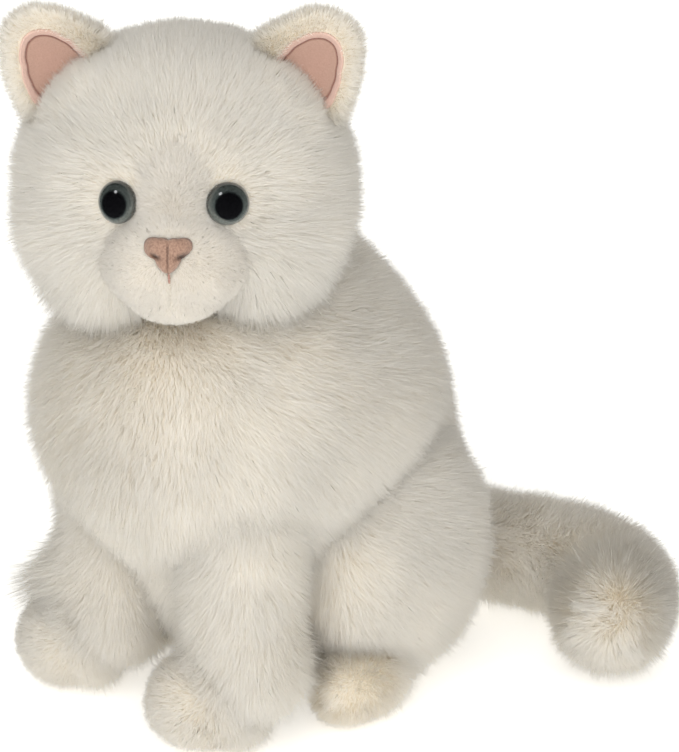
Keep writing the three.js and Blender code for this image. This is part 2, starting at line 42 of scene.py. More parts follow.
# ------------------------------------------------------------------ dimensions (mm), the same as the frame's
HEAD_C = np.array([-2.0, -33.0, 228.0]); YAW = 41.0
HEAD_R = np.array([67.5, 59.0, 58.5])
EYE = np.array([20.4, -52.6, 6.5]); EYE_R = 8.2
MUZZLE_C = np.array([0.0, -49.0, -18.0]); MUZZLE_R = np.array([27.0, 24.0, 20.5])
EAR_BASE = np.array([45.6, -3.0, 40.3]); EAR_TILT = 46.0
TORSO_C = np.array([0.0, 6.0, 105.0])
LOBES = [([0, -2, 135], [76, 84, 70], 14), ([0, 22, 79], [59, 82, 86], 0), ([0, -38, 127], [64, 51, 57], 0)]
HAUNCH = ([47, 30, 60], [34, 50, 57])
FOOT = ([62, -4, 17.5], [18.5, 26, 17.3])
SH_L, SH_R = np.array([38.0, -44, 98]), np.array([-38.0, -38, 98])
ANK_L, ANK_R = np.array([42.0, -47, 33]), np.array([-31.0, -50, 34])
PAW_L, PAW_R = np.array([30.0, -61, 21]), np.array([-47.0, -62, 21.5])
PAW = np.array([22.8, 24, 21.2])
TAIL_PATH = np.array([[6, 80, 33], [22, 98, 32.5], [44, 112, 31], [70, 121, 30.5], [92, 119, 31], [107, 108, 31], [115.5, 95, 30.5]], float)
TAIL_RADII = np.array([24, 26, 26.5, 26.8, 27, 27.2, 26.5])


# ------------------------------------------------------------------ small maths
def rot(ax, deg):
    c, s = math.cos(math.radians(deg)), math.sin(math.radians(deg))
    return np.array({"x": [[1, 0, 0], [0, c, -s], [0, s, c]], "y": [[c, 0, s], [0, 1, 0], [-s, 0, c]], "z": [[c, -s, 0], [s, c, 0], [0, 0, 1]]}[ax])


RH = rot("z", YAW)


def h2w(p):
    return np.asarray(p, float) @ RH.T + HEAD_C


def w2h(p):
    return (np.asarray(p, float) - HEAD_C) @ RH


EAR_ROT = rot("z", -8) @ rot("y", EAR_TILT) @ rot("x", 6)


def ear2h(p, sx):
    q = np.asarray(p, float) @ EAR_ROT.T + EAR_BASE
    q[..., 0] *= sx
    return q


def h2ear(p, sx):
    q = np.array(p, float)
    q[..., 0] *= sx
    return (q - EAR_BASE) @ EAR_ROT


def sstep(a, b, x):
    t = np.clip((x - a) / (b - a), 0, 1)
    return t * t * (3 - 2 * t)


def norm(v):
    return v / np.maximum(np.linalg.norm(v, axis=-1, keepdims=True), 1e-9)


def _hash(ix, iy, iz, seed):
    h = (ix * 73856093) ^ (iy * 19349663) ^ (iz * 83492791) ^ (seed * 40503)
    h &= 0xFFFFFFFF
    h = ((h ^ (h >> 16)) * 0x45D9F3B) & 0xFFFFFFFF
    h = ((h ^ (h >> 16)) * 0x45D9F3B) & 0xFFFFFFFF
    return ((h ^ (h >> 16)) & 0xFFFFFF) / float(0xFFFFFF)


def vnoise(p, scale, seed=0):
    q = np.asarray(p, float) / scale
    i = np.floor(q).astype(np.int64)
    f = q - i
    f = f * f * (3 - 2 * f)
    out = 0
    for dx in (0, 1):
        for dy in (0, 1):
            for dz in (0, 1):
                w = (f[:, 0] if dx else 1 - f[:, 0]) * (f[:, 1] if dy else 1 - f[:, 1]) * (f[:, 2] if dz else 1 - f[:, 2])
                out = out + w * _hash(i[:, 0] + dx, i[:, 1] + dy, i[:, 2] + dz, seed)
    return out * 2 - 1


def vnoise3(p, scale, seed):
    return np.stack([vnoise(p, scale, seed + k) for k in (0, 11, 23)], 1)


# ------------------------------------------------------------------ mesh helpers
def uv_sphere(seg, rings):
    th = np.linspace(0, np.pi, rings + 1)[1:-1]
    ph = np.arange(seg) * 2 * np.pi / seg
    T, P = np.meshgrid(th, ph, indexing="ij")
    v = np.stack([np.sin(T) * np.cos(P), np.sin(T) * np.sin(P), np.cos(T)], -1).reshape(-1, 3)
    v = np.vstack([v, [[0, 0, 1], [0, 0, -1]]])
    n = rings - 1
    f = []
    for r in range(n - 1):
        for s in range(seg):
            a, b = r * seg + s, r * seg + (s + 1) % seg
            f.append((a, a + seg, b + seg, b))
    top, bot = n * seg, n * seg + 1
    for s in range(seg):
        f.append((top, s, (s + 1) % seg))
        f.append((bot, (n - 1) * seg + (s + 1) % seg, (n - 1) * seg + s))
    return v, f


def ellipsoid(c, r, R=None, seg=48, rings=32):
    v, f = uv_sphere(seg, rings)
    v = v * np.array(r, float)
    if R is not None:
        v = v @ np.asarray(R).T
    return v + np.array(c, float), f


def curve_points(path, n):
    """Centripetal-free smooth curve through the points."""
    path = np.asarray(path, float)
    m = len(path) - 1
    t = np.linspace(0, m, n)
    P = np.vstack([2 * path[0] - path[1], path, 2 * path[-1] - path[-2]])
    i = np.minimum(t.astype(int), m - 1)
    f = (t - i)[:, None]
    p0, p1, p2, p3 = P[i], P[i + 1], P[i + 2], P[i + 3]
    c = 0.5 * (2 * p1 + (p2 - p0) * f + (2 * p0 - 5 * p1 + 4 * p2 - p3) * f ** 2 + (3 * p1 - p0 - 3 * p2 + p3) * f ** 3)
    return c, t / m


def chain(path, radii, n=40, grow=0.0):
    """Overlapping balls along a path, for the voxel union."""
    c, t = curve_points(path, n)
    r = np.interp(t * (len(radii) - 1), np.arange(len(radii)), radii) + grow
    return [ellipsoid(c[k], [r[k]] * 3, seg=28, rings=18) for k in range(n)]


def blended(inset, seg=96, rings=64):
    v, f = uv_sphere(seg, rings)
    total = np.zeros(len(v))
    for c, r, lean in LOBES:
        R = rot("x", -lean)
        r = np.array(r, float)
        o = ((TORSO_C - np.array(c, float)) @ R.T) / r
        d = (v @ R.T) / r
        A, B, C = (d * d).sum(1), d @ o, o @ o - 1
        t = (-B + np.sqrt(np.maximum(B * B - A * C, 0))) / A
        total += np.maximum(t, 0) ** 9
    rad = total ** (1 / 9) - inset
    return v * rad[:, None] + TORSO_C, f


def outward(v, f):
    """Closed mesh with its faces turned outward."""
    v = np.asarray(v)
    vol = 0.0
    for q in f:
        for k in range(1, len(q) - 1):
            vol += np.dot(v[q[0]], np.cross(v[q[k]], v[q[k + 1]]))
    return f if vol > 0 else [tuple(q[::-1]) for q in f]


def to_object(name, v, f, smooth=True):
    me = bpy.data.meshes.new(name)
    me.from_pydata((np.asarray(v) * MM).tolist(), [], f)
    me.update()
    if smooth:
        me.shade_smooth()
    o = bpy.data.objects.new(name, me)
    bpy.context.scene.collection.objects.link(o)
    return o


def baked(o, mods):
    """Applies modifiers given as (type, settings) and leaves a plain mesh."""
    for kind, settings in mods:
        m = o.modifiers.new(kind.lower(), kind)
        for k, val in settings.items():
            setattr(m, k, val)
    dg = bpy.context.evaluated_depsgraph_get()
    dg.update()
    me = bpy.data.meshes.new_from_object(o.evaluated_get(dg))
    old = o.data
    o.modifiers.clear()
    o.data = me
    me.name = o.name
    bpy.data.meshes.remove(old)
    me.shade_smooth()
    return o


def union_skin(name, parts, voxel, smooth=8, flat_floor=None):
    vs, fs, n = [], [], 0
    for v, f in parts:
        vs.append(v)
        fs += [tuple(i + n for i in q) for q in f]
        n += len(v)
    o = to_object(name, np.vstack(vs), fs)
    baked(o, [("REMESH", {"mode": "VOXEL", "voxel_size": voxel * MM}), ("SMOOTH", {"factor": 0.5, "iterations": smooth})])
    if flat_floor is not None:
        co = coords(o)
        co[:, 2] = np.maximum(co[:, 2], flat_floor)
        set_coords(o, co)
    return o


def coords(o):
    co = np.empty(len(o.data.vertices) * 3, np.float32)
    o.data.vertices.foreach_get("co", co)
    return co.reshape(-1, 3).astype(float) / MM


def set_coords(o, co):
    o.data.vertices.foreach_set("co", (co * MM).astype(np.float32).ravel())
    o.data.update()


def tri_data(o):
    me = o.data
    me.calc_loop_triangles()
    t = np.empty(len(me.loop_triangles) * 3, np.int32)
    me.loop_triangles.foreach_get("vertices", t)
    n = np.empty(len(me.vertices) * 3, np.float32)
    me.vertices.foreach_get("normal", n)
    return coords(o), t.reshape(-1, 3), n.reshape(-1, 3).astype(float)


# ------------------------------------------------------------------ materials
def new_mat(name):
    m = bpy.data.materials.new(name)
    m.use_nodes = True
    nt = m.node_tree
    return m, nt, nt.nodes["Principled BSDF"]


def ramp(nt, stops):
    r = nt.nodes.new("ShaderNodeValToRGB")
    e = r.color_ramp.elements
    while len(e) < len(stops):
        e.new(0.5)
    for k, (p, c) in enumerate(stops):
        e[k].position = p
        e[k].color = (*c, 1)
    return r


def srgb(r, g, b):
    return tuple(((c / 255) / 12.92 if c / 255 <= 0.04045 else ((c / 255 + 0.055) / 1.055) ** 2.4) for c in (r, g, b))


def pile_material(name, root, tip, through=0.42):
    """Pile fibres: darker and warmer at the root, which is painted shade deep in the pile, paler to the tip, each fibre
    a little different.
    """
    m, nt, b = new_mat(name)
    at = nt.nodes.new("ShaderNodeAttribute"); at.attribute_name = "strand"
    sep = nt.nodes.new("ShaderNodeSeparateXYZ")
    nt.links.new(at.outputs["Vector"], sep.inputs[0])
    # the root end of the ramp is painted shade deep in the pile
    r = ramp(nt, [(0.0, root), (0.45, tuple((a + 2 * c) / 3 for a, c in zip(root, tip))), (1.0, tip)])
    nt.links.new(sep.outputs["X"], r.inputs[0])
    hsv = nt.nodes.new("ShaderNodeHueSaturation")
    mr = nt.nodes.new("ShaderNodeMapRange")
    mr.inputs["To Min"].default_value = 0.93
    mr.inputs["To Max"].default_value = 1.04
    nt.links.new(sep.outputs["Y"], mr.inputs["Value"])
    nt.links.new(mr.outputs[0], hsv.inputs["Value"])
    nt.links.new(r.outputs[0], hsv.inputs["Color"])
    nt.links.new(hsv.outputs[0], b.inputs["Base Color"])
    b.inputs["Roughness"].default_value = 0.75
    b.inputs["Specular IOR Level"].default_value = 0.25
    b.inputs["Sheen Weight"].default_value = 0.15
    b.inputs["Sheen Roughness"].default_value = 0.5
    # thin fibres let part of the light through
    tr = nt.nodes.new("ShaderNodeBsdfTranslucent")
    nt.links.new(hsv.outputs[0], tr.inputs["Color"])
    mixed = nt.nodes.new("ShaderNodeMixShader")
    mixed.inputs[0].default_value = through
    nt.links.new(b.outputs[0], mixed.inputs[1])
    nt.links.new(tr.outputs[0], mixed.inputs[2])
    nt.links.new(mixed.outputs[0], nt.nodes["Material Output"].inputs["Surface"])
    return m


def cloth_material(name, a, b2, scale=900, bump=0.25, rough=0.95, sheen=0.3):
    m, nt, b = new_mat(name)
    tc = nt.nodes.new("ShaderNodeTexCoord")
    n1 = nt.nodes.new("ShaderNodeTexNoise")
    n1.inputs["Scale"].default_value = scale
    n1.inputs["Detail"].default_value = 4
    nt.links.new(tc.outputs["Object"], n1.inputs["Vector"])
    r = ramp(nt, [(0.3, a), (0.7, b2)])
    nt.links.new(n1.outputs["Fac"], r.inputs[0])
    nt.links.new(r.outputs[0], b.inputs["Base Color"])
    bp = nt.nodes.new("ShaderNodeBump")
    bp.inputs["Strength"].default_value = bump
    bp.inputs["Distance"].default_value = 0.0006
    nt.links.new(n1.outputs["Fac"], bp.inputs["Height"])
    nt.links.new(bp.outputs[0], b.inputs["Normal"])
    b.inputs["Roughness"].default_value = rough
    b.inputs["Sheen Weight"].default_value = sheen
    b.inputs["Specular IOR Level"].default_value = 0.2
    return m


# the root colours are darker and warmer than the tips: painted shade deep in the pile
M_PILE = pile_material("long_pile", (0.972, 0.932, 0.845), (0.985, 0.966, 0.925))
M_SHORT = pile_material("short_pile", (0.925, 0.885, 0.81), (0.955, 0.93, 0.885))
# the backing cloths are coloured darker and warmer than the fibres: painted shade at the bottom of the pile, which
# shows most where the pile is short or sparse
M_BACK = cloth_material("pile_backing", (0.78, 0.72, 0.61), (0.84, 0.78, 0.67))
M_MUZZLE = cloth_material("muzzle_cloth", (0.74, 0.70, 0.62), (0.80, 0.76, 0.69))


# ------------------------------------------------------------------ pile
PIECES = []


def grow(name, skin, body, per_mm2, field, seed, material, width=0.24, clump=4.2, clump_pull=0.10, levels=2, budget=190000, loose=1.0):
    """Plants tapered fibres over a skin. field(points, normals) gives direction, length, lean at root and tip, density 0..1."""
    co, tri, vn = tri_data(skin)
    a, b, c = co[tri[:, 0]], co[tri[:, 1]], co[tri[:, 2]]
    area = 0.5 * np.linalg.norm(np.cross(b - a, c - a), axis=1)
    rng = np.random.default_rng(seed)
    n = int(area.sum() * per_mm2 * DENSE)
    pick = rng.choice(len(tri), n, p=area / area.sum())
    u, v = rng.random(n), rng.random(n)
    flip = u + v > 1
    u[flip], v[flip] = 1 - u[flip], 1 - v[flip]
    P = a[pick] + (b - a)[pick] * u[:, None] + (c - a)[pick] * v[:, None]
    N = norm(vn[tri[pick, 0]] * (1 - u - v)[:, None] + vn[tri[pick, 1]] * u[:, None] + vn[tri[pick, 2]] * v[:, None])
    D, L, lean0, lean1, keep = field(P, N)
    ok = rng.random(n) < keep
    P, N, D, L, lean0, lean1 = P[ok], N[ok], D[ok], L[ok], lean0[ok], lean1[ok]
    n = len(P)
    D = D + vnoise3(P, 17, seed) * 0.36 + vnoise3(P, 7, seed + 3) * 0.26
    D = D - (D * N).sum(1)[:, None] * N
    T = norm(D)

    # clump centres
    nc = max(8, int(area.sum() / clump ** 2))
    ci = rng.choice(n, min(nc, n), replace=False)
    kd = kdtree.KDTree(len(ci))
    for k, q in enumerate(P[ci]):
        kd.insert(q, k)
    kd.balance()
    near = np.array([kd.find(q)[1] for q in P])
    ck = ci[near]

    S = np.linspace(0, 1, levels + 1)
    L = L * (0.74 + 0.40 * rng.random(n)) * (1 + 0.10 * vnoise(P, 9, seed + 8))
    guard = rng.random(n) < 0.10
    L = np.where(guard, L * 1.12, L)
    wob = norm(rng.normal(size=(n, 3)))

    def path(Pr, Nr, Tr, Lr, l0, l1):
        pts = [Pr - Nr * 0.6]
        for k in range(levels):
            s = (S[k] + S[k + 1]) / 2
            ang = np.radians(l0 + (l1 - l0) * s)[:, None]
            pts.append(pts[-1] + (Nr * np.cos(ang) + Tr * np.sin(ang)) * (Lr / levels)[:, None])
        return pts

    up0 = rng.normal(size=n) * 12 * loose - guard * 4
    own = path(P, N, norm(T + wob * 0.36 * loose), L, lean0 + up0, lean1 + up0 + rng.normal(size=n) * 9 * loose - guard * 8)
    cen = path(P[ck], N[ck], T[ck], L, lean0[ck], lean1[ck])
    pull = clump_pull * (0.5 + 0.8 * rng.random(n)) * (1 + 0.9 * vnoise(P, 12, seed + 9))
    pts = []
    rnd0 = rng.random(n)
    for k, s in enumerate(S):
        together = cen[k] + (P - P[ck]) * (1 - 0.8 * s ** 1.3)
        w = (np.clip(pull, 0, 0.9) * s ** 0.8)[:, None]
        pts.append(own[k] * (1 - w) + together * w)
        # nothing goes below the ground
        pts[-1][:, 2] = np.maximum(pts[-1][:, 2], 0.15 + 0.5 * rnd0)
    # ribbons turned a little about their own length, front side outward
    roll = np.radians(rng.normal(size=n) * 32)
    wid = width * (0.75 + 0.5 * rng.random(n))
    V = np.zeros((n, 2 * levels + 1, 3))
    NV = np.zeros((n, 2 * levels + 1, 3))
    for k in range(levels):
        d = norm(pts[min(k + 1, levels)] - pts[max(k - 1, 0)])
        side = norm(np.cross(d, N))
        up = np.cross(side, d)
        sd = side * np.cos(roll)[:, None] + up * np.sin(roll)[:, None]
        w = wid * (1.0, 0.86, 0.66, 0.5)[k]
        V[:, 2 * k] = pts[k] - sd * (w / 2)[:, None]
        V[:, 2 * k + 1] = pts[k] + sd * (w / 2)[:, None]
        nn = norm(np.cross(sd, d))
        nn = np.where(((nn * N).sum(1) < 0)[:, None], -nn, nn)
        NV[:, 2 * k] = norm(N * 0.6 + nn * 0.75 - sd * 0.3)
        NV[:, 2 * k + 1] = norm(N * 0.6 + nn * 0.75 + sd * 0.3)
    V[:, 2 * levels] = pts[levels]
    NV[:, 2 * levels] = norm(N + T * 0.2)
    pat = []
    for k in range(levels - 1):
        pat += [2 * k, 2 * k + 2, 2 * k + 1, 2 * k + 1, 2 * k + 2, 2 * k + 3]
    pat += [2 * levels - 2, 2 * levels, 2 * levels - 1]
    pat = np.array(pat).reshape(-1, 3)
    # front faces outward
    e = np.cross(V[:, pat[0][1]] - V[:, pat[0][0]], V[:, pat[0][2]] - V[:, pat[0][0]])
    wrong = (e * N).sum(1) < 0
    nv, ntri = V.shape[1], len(pat)
    rnd = rng.random(n)
    # neighbouring fibres share a tint as well as having their own
    tint = np.clip(0.5 + 0.35 * vnoise(P, 18, seed + 5) + 0.35 * (rnd - 0.5) * 2, 0, 1)
    per_piece = budget // ntri
    order = np.argsort((P @ np.array([0.3, 0.2, 1.0])))  # pieces are bands, kept together
    made = []
    count = max(1, math.ceil(n / per_piece))
    for q in range(count):
        sel = order[q * n // count:(q + 1) * n // count]
        m = len(sel)
        me = bpy.data.meshes.new(f"{name}_{q + 1}")
        me.vertices.add(m * nv)
        me.vertices.foreach_set("co", (V[sel].reshape(-1) * MM).astype(np.float32))
        F = (np.arange(m)[:, None, None] * nv + pat[None]).astype(np.int32)
        F[wrong[sel]] = F[wrong[sel]][:, :, ::-1]
        me.loops.add(m * ntri * 3)
        me.loops.foreach_set("vertex_index", F.reshape(-1))
        me.polygons.add(m * ntri)
        me.polygons.foreach_set("loop_start", np.arange(0, m * ntri * 3, 3, dtype=np.int32))
        me.update(calc_edges=True)
        me.shade_smooth()
        t = np.repeat(S[:levels], 2).tolist() + [1.0]
        at = np.zeros((m, nv, 3), np.float32)
        at[:, :, 0] = np.array(t)[None]
        at[:, :, 1] = tint[sel][:, None]
        A = me.attributes.new("strand", "FLOAT_VECTOR", "POINT")
        A.data.foreach_set("vector", at.reshape(-1))
        # the bake layout: one column per tint, root at the bottom and tip at the top
        uv = me.uv_layers.new(name="OFBake")
        col = (np.floor(tint[sel] * 31.999) + 0.5) / 32
        UV = np.zeros((m, nv, 2), np.float32)
        UV[:, :, 0] = col[:, None]
        UV[:, 0:2 * levels:2, 0] -= 0.011
        UV[:, 1:2 * levels:2, 0] += 0.011
        UV[:, :, 1] = 0.02 + 0.96 * np.array(t)[None]
        uv.data.foreach_set("uv", UV.reshape(-1, 2)[F.reshape(-1)].reshape(-1))
        me.normals_split_custom_set_from_vertices(NV[sel].reshape(-1, 3).astype(np.float32))
        me.materials.append(material)
        o = bpy.data.objects.new(f"{name}_{q + 1}", me)
        bpy.context.scene.collection.objects.link(o)
        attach(o, body)
        made.append(o)
    PIECES.append((name, n, n * ntri))
    return made


# ------------------------------------------------------------------ pile fields: where each fibre points and how long it is
def eye_distance(q):
    return np.minimum(np.linalg.norm(q - EYE, axis=1), np.linalg.norm(q - EYE * [-1, 1, 1], axis=1))


def crease_distance(q):
    a, b = np.array([-7.0, 16.0]), np.array([1.2, 27.0])
    p = q[:, [0, 2]] - a
    t = np.clip(p @ (b - a) / ((b - a) @ (b - a)), 0, 1)
    return np.linalg.norm(p - t[:, None] * (b - a), axis=1) + 9 * (q[:, 1] > -20)


def head_length(q):
    d = np.linalg.norm((q - [0, -58, 6]) * [1, 1, 0.8], axis=1)
    L = 5.2 + (11.0 - 5.2) * sstep(13, 40, d)
    L += 2.5 * sstep(22, 48, np.abs(q[:, 0])) * sstep(12, -18, q[:, 2]) * sstep(30, -20, q[:, 1])  # cheek ruff
    L += 7.0 * sstep(-22, -42, q[:, 2]) * sstep(10, 20, np.abs(q[:, 0])) + 2.0 * sstep(-30, -44, q[:, 2])
    L *= 1 - 0.45 * np.exp(-(crease_distance(q) / 1.5) ** 2)
    for s in (1, -1):
        L *= 1 - 0.35 * sstep(24, 12, np.linalg.norm(q - [42 * s, -12, 36], axis=1))
    L *= 0.62 + 0.38 * sstep(8, 17, eye_distance(q))
    L = L * (1 - 0.18 * sstep(28, 50, q[:, 2]))
    return L


def head_field(P, N):
    q = w2h(P)
    d = norm(q - [0, -70, -4])
    down = np.zeros_like(q)
    down[:, 2] = -1
    d = d + down * (0.7 * sstep(-5, 30, q[:, 1]) + 0.9 * sstep(-8, -34, q[:, 2]))[:, None]
    for s in (1, -1):
        e = q - EYE * [s, 1, 1]
        ed = np.linalg.norm(e, axis=1)
        d = d + norm(e) * (0.8 * (1 - sstep(8, 15, ed)))[:, None]
    L = head_length(q)
    near = 1 - sstep(9, 20, eye_distance(q))
    low = sstep(-22, -40, q[:, 2])
    lean0 = 18 + 6 * near - 8 * low
    lean1 = 44 + 6 * near - 14 * low
    dens = np.ones(len(q))
    dens[eye_distance(q) < EYE_R - 1.4] = 0
    dens[(((q - MUZZLE_C) / (MUZZLE_R - 3.0)) ** 2).sum(1) < 1] = 0
    return d @ RH.T, L, lean0, lean1, dens


def torso_field(P, N):
    d = np.zeros_like(P)
    d[:, 2] = -1.0
    side = np.abs(P[:, 0])
    d[:, 1] = 0.25 + 0.25 * sstep(20, 60, side)
    front = sstep(-30, -70, P[:, 1])
    d[:, 0] = 0.35 * front
    top = sstep(128, 175, P[:, 2])
    out = norm(P - HEAD_C)
    out[:, 2] = 0
    d = d + out * top[:, None] * 1.3
    L = np.full(len(P), 12.0)
    foot = np.ones(len(P)) * 1e9
    for s in (1, -1):
        f = (P - np.array(FOOT[0]) * [s, 1, 1]) / np.array(FOOT[1])
        foot = np.minimum(foot, np.linalg.norm(f, axis=1))
        h = (P - np.array(HAUNCH[0]) * [s, 1, 1]) / np.array(HAUNCH[1])
        on = sstep(1.15, 0.85, np.linalg.norm(h, axis=1)) * sstep(35, 60, side)
        d = d + np.array([0.15 * s, 0.35, 0.0]) * on[:, None]
    onfoot = sstep(1.14, 0.96, foot) * sstep(14, -4, P[:, 1])
    L = L * (1 - onfoot) + 6.0 * onfoot
    d = d * (1 - onfoot)[:, None] + np.array([0.0, -1.0, -0.35]) * onfoot[:, None]
    L = L * (0.35 + 0.65 * sstep(1, 9, P[:, 2]))
    lean0 = 22 - 8 * onfoot
    lean1 = 50 - 16 * onfoot
    dens = np.ones(len(P))
    dens[P[:, 2] < 0.8] = 0
    dens[np.linalg.norm(P - HEAD_C, axis=1) < 47] = 0
    neck = sstep(132, 160, P[:, 2]) * sstep(-15, -45, P[:, 1])
    return d, L, lean0 + 10 * neck, lean1 + 16 * neck, dens


def leg_field(S, ankle, paw):
    fwd = norm((paw - ankle) * [1, 1, 0])

    def tuft(P):
        # the longer lock that stands off the outer side of the right leg's hem
        if S[0] > 0:
            return np.zeros(len(P))
        return np.exp(-(np.linalg.norm((P - [-50, -61, 54]) / [11, 11, 11], axis=1)) ** 2)

    def f(P, N):
        d = np.zeros_like(P)
        d[:, 2] = -1
        d[:, 1] = -0.12
        q = (P - paw) / PAW
        on = sstep(1.28, 1.06, np.linalg.norm(q, axis=1)) * sstep(-10, 0, (P - paw) @ fwd + 0.35 * (paw[2] - P[:, 2]))
        to = norm(fwd + np.array([0, 0, -0.45]))
        d = d * (1 - on)[:, None] + to * on[:, None]
        L = (12.0 + 4.0 * sstep(60, 40, P[:, 2]) * sstep(24, 36, P[:, 2])) * (1 - on) + 6.0 * on
        L = L * (1 + 2.0 * tuft(P))
        d = d + norm(np.array([-70.0, -82, 46]) - P) * (4.0 * tuft(P))[:, None]
        L = L * (0.4 + 0.6 * sstep(1, 8, P[:, 2]))
        dens = np.ones(len(P))
        dens[P[:, 2] < 0.7] = 0
        dens[np.linalg.norm(P - S, axis=1) < 17] = 0
        return d, L, 22 - 8 * on - 10 * tuft(P), 50 - 16 * on - 26 * tuft(P), dens
    return f


TAIL_LINE, TAIL_T = curve_points(TAIL_PATH, 80)
TAIL_TAN = norm(np.gradient(TAIL_LINE, axis=0))


def tail_field(P, N):
    d2 = ((P[:, None, :] - TAIL_LINE[None]) ** 2).sum(2)
    k = d2.argmin(1)
    d = TAIL_TAN[k].copy()
    tip = TAIL_LINE[-1]
    past = sstep(-14, 16, (P - tip) @ TAIL_TAN[-1])
    # fibres of the tip fan out from its middle
    axis = TAIL_TAN[-1]
    rad = (P - tip) - ((P - tip) @ axis)[:, None] * axis
    d = d * (1 - 0.8 * past)[:, None] + norm(rad) * (past * 0.22)[:, None]
    d[:, 2] -= 0.12
    L = np.full(len(P), 12.0)
    L = L * (0.4 + 0.6 * sstep(1, 9, P[:, 2]))
    dens = np.ones(len(P))
    dens[P[:, 2] < 0.9] = 0
    end = sstep(-36, -4, (P - tip) @ TAIL_TAN[-1]) * sstep(60, 40, np.linalg.norm(P - tip, axis=1))
    return d, L, 20 - 8 * end, 48 - 24 * end + 8 * past, dens


# ------------------------------------------------------------------ skins
def mirror(p, s):
    return [p[0] * s, p[1], p[2]]


tv, tf = blended(8.8)
lean_dir = np.array([0.66, 0.75, 0.0])
tv = tv - lean_dir * (12.0 * sstep(122, 174, tv[:, 2]) * sstep(5, 55, tv @ lean_dir))[:, None]
body_parts = [(tv, tf)]
for s in (1, -1):
    body_parts.append(ellipsoid(mirror(HAUNCH[0], s), np.array(HAUNCH[1]) - 6.8))
    body_parts.append(ellipsoid(mirror([32, 42, 80], s), [30, 31, 32]))
    body_parts.append(ellipsoid(mirror(FOOT[0], s), np.array(FOOT[1]) - 4.0, R=rot("z", s * 8)))
skin_body = union_skin("body_skin", body_parts, 2.6, smooth=18, flat_floor=0.6)
skin_body.data.materials.append(M_BACK)

# head: full jowls below the eyes, a dent round each eye
hv, hf = uv_sphere(128, 88)
low = hv[:, 2] < 0
ax = np.abs(hv)
n_low = 2.0 + 0.40 * sstep(0, -0.35, hv[:, 2]) * sstep(-0.98, -0.6, hv[:, 2])
scale = 1.0 / (ax[:, 0] ** n_low + ax[:, 1] ** n_low + ax[:, 2] ** n_low) ** (1 / n_low)
hq = hv * scale[:, None] * HEAD_R
inset = 0.80 * np.minimum(head_length(hq), 11.5) - 1.0
inset += 4.2 * np.exp(-(eye_distance(hq) / 12.0) ** 2)
inset += 1.8 * np.abs(hv[:, 0]) ** 2
inset += 6.0 * sstep(-20, -42, hq[:, 2]) * sstep(-8, -36, hq[:, 1]) * sstep(34, 18, np.abs(hq[:, 0]))
inset += 1.2 * np.exp(-(crease_distance(hq) / 2.5) ** 2)
hn = norm(hv / HEAD_R)
hq = hq - hn * inset[:, None]
skin_head = to_object("head_skin", h2w(hq), hf)
skin_head.data.materials.append(M_BACK)

skins_leg = []
for side, S, A, Pw in (("left", SH_L, ANK_L, PAW_L), ("right", SH_R, ANK_R, PAW_R)):
    parts = chain([S, (S + A) / 2 + [0, -1, 0], A], [27 - 7.5, 25.5 - 7.5, 22 - 6.5], 14)
    parts.append(ellipsoid(Pw, PAW - 4.4))
    if side == "left":
        parts.append(ellipsoid((Pw + A) / 2 * [1, 1, 0] + [0, 0, 16], [13, 13, 13]))
    o = union_skin(f"front_leg_skin_{side}", parts, 2.0, smooth=5, flat_floor=0.6)
    o.data.materials.append(M_BACK)
    skins_leg.append(o)

skin_tail = union_skin("tail_skin", chain(TAIL_PATH, TAIL_RADII, 44, grow=-9.5), 2.4, smooth=8, flat_floor=0.8)
skin_tail.data.materials.append(M_BACK)


# ------------------------------------------------------------------ ears: a furred shell with a hollowed front, and a velour lining sewn into it
SHELL_EDGE = np.array([(-19.4, -8), (-20.6, 0), (-20.4, 5), (-18.6, 12), (-16.6, 18.5), (-13.4, 23.6), (-8.2, 26.6), (-2, 27.6), (3.0, 26.2), (8.6, 19.8), (13.8, 13), (17.4, 5.5), (19.2, -1), (19.0, -8), (10, -10), (-10, -10)])
LINING_EDGE = np.array([(-12.8, -4), (-13.6, 3), (-13.2, 11.5), (-10.6, 18.2), (-6.4, 22.0), (-1.0, 22.6), (3.6, 20.2), (8.7, 14.5), (13.6, 7.5), (16.4, 0), (15.6, -5), (6, -7), (-6, -7)])
EAR_MID = np.array([-0.6, 7.0])
LINING_EDGE = EAR_MID + (LINING_EDGE - EAR_MID) * [0.93, 0.95]


def edge_radius(poly, a):
    p = poly - EAR_MID
    ang, r = np.arctan2(p[:, 1], p[:, 0]), np.linalg.norm(p, axis=1)
    o = np.argsort(ang)
    ang, r = ang[o], r[o]
    g = np.linspace(-np.pi, np.pi, 361)[:-1]
    R = np.interp(g, np.concatenate([ang - 2 * np.pi, ang, ang + 2 * np.pi]), np.tile(r, 3))
    for _ in range(40):
        R = 0.25 * np.roll(R, 1) + 0.5 * R + 0.25 * np.roll(R, -1)
    return np.interp(a, np.concatenate([g, [np.pi]]), np.concatenate([R, R[:1]]))


def ear_mid(X, Z):
    return -4.2 * (X / 20) ** 2 * np.clip((Z + 6) / 16, 0, 1) + 1.0 * np.clip(Z / 20, 0, 1)


def ear_front(X, Z):
    d = np.stack([X, Z], -1) - EAR_MID
    a, r = np.arctan2(d[..., 1], d[..., 0]), np.linalg.norm(d, axis=-1)
    rho = np.clip(r / edge_radius(SHELL_EDGE, a), 0, 1)
    rl = np.clip(r / edge_radius(LINING_EDGE, a), 0, 1)
    return ear_mid(X, Z) - 2.5 * np.sqrt(np.maximum(1 - rho ** 4, 0)) + 4.6 * (1 - rl ** 2.2), rho, rl


def ear_back_face(X, Z):
    d = np.stack([X, Z], -1) - EAR_MID
    a, r = np.arctan2(d[..., 1], d[..., 0]), np.linalg.norm(d, axis=-1)
    rho = np.clip(r / edge_radius(SHELL_EDGE, a), 0, 1)
    return ear_mid(X, Z) + 3.4 * np.sqrt(np.maximum(1 - rho ** 3, 0))


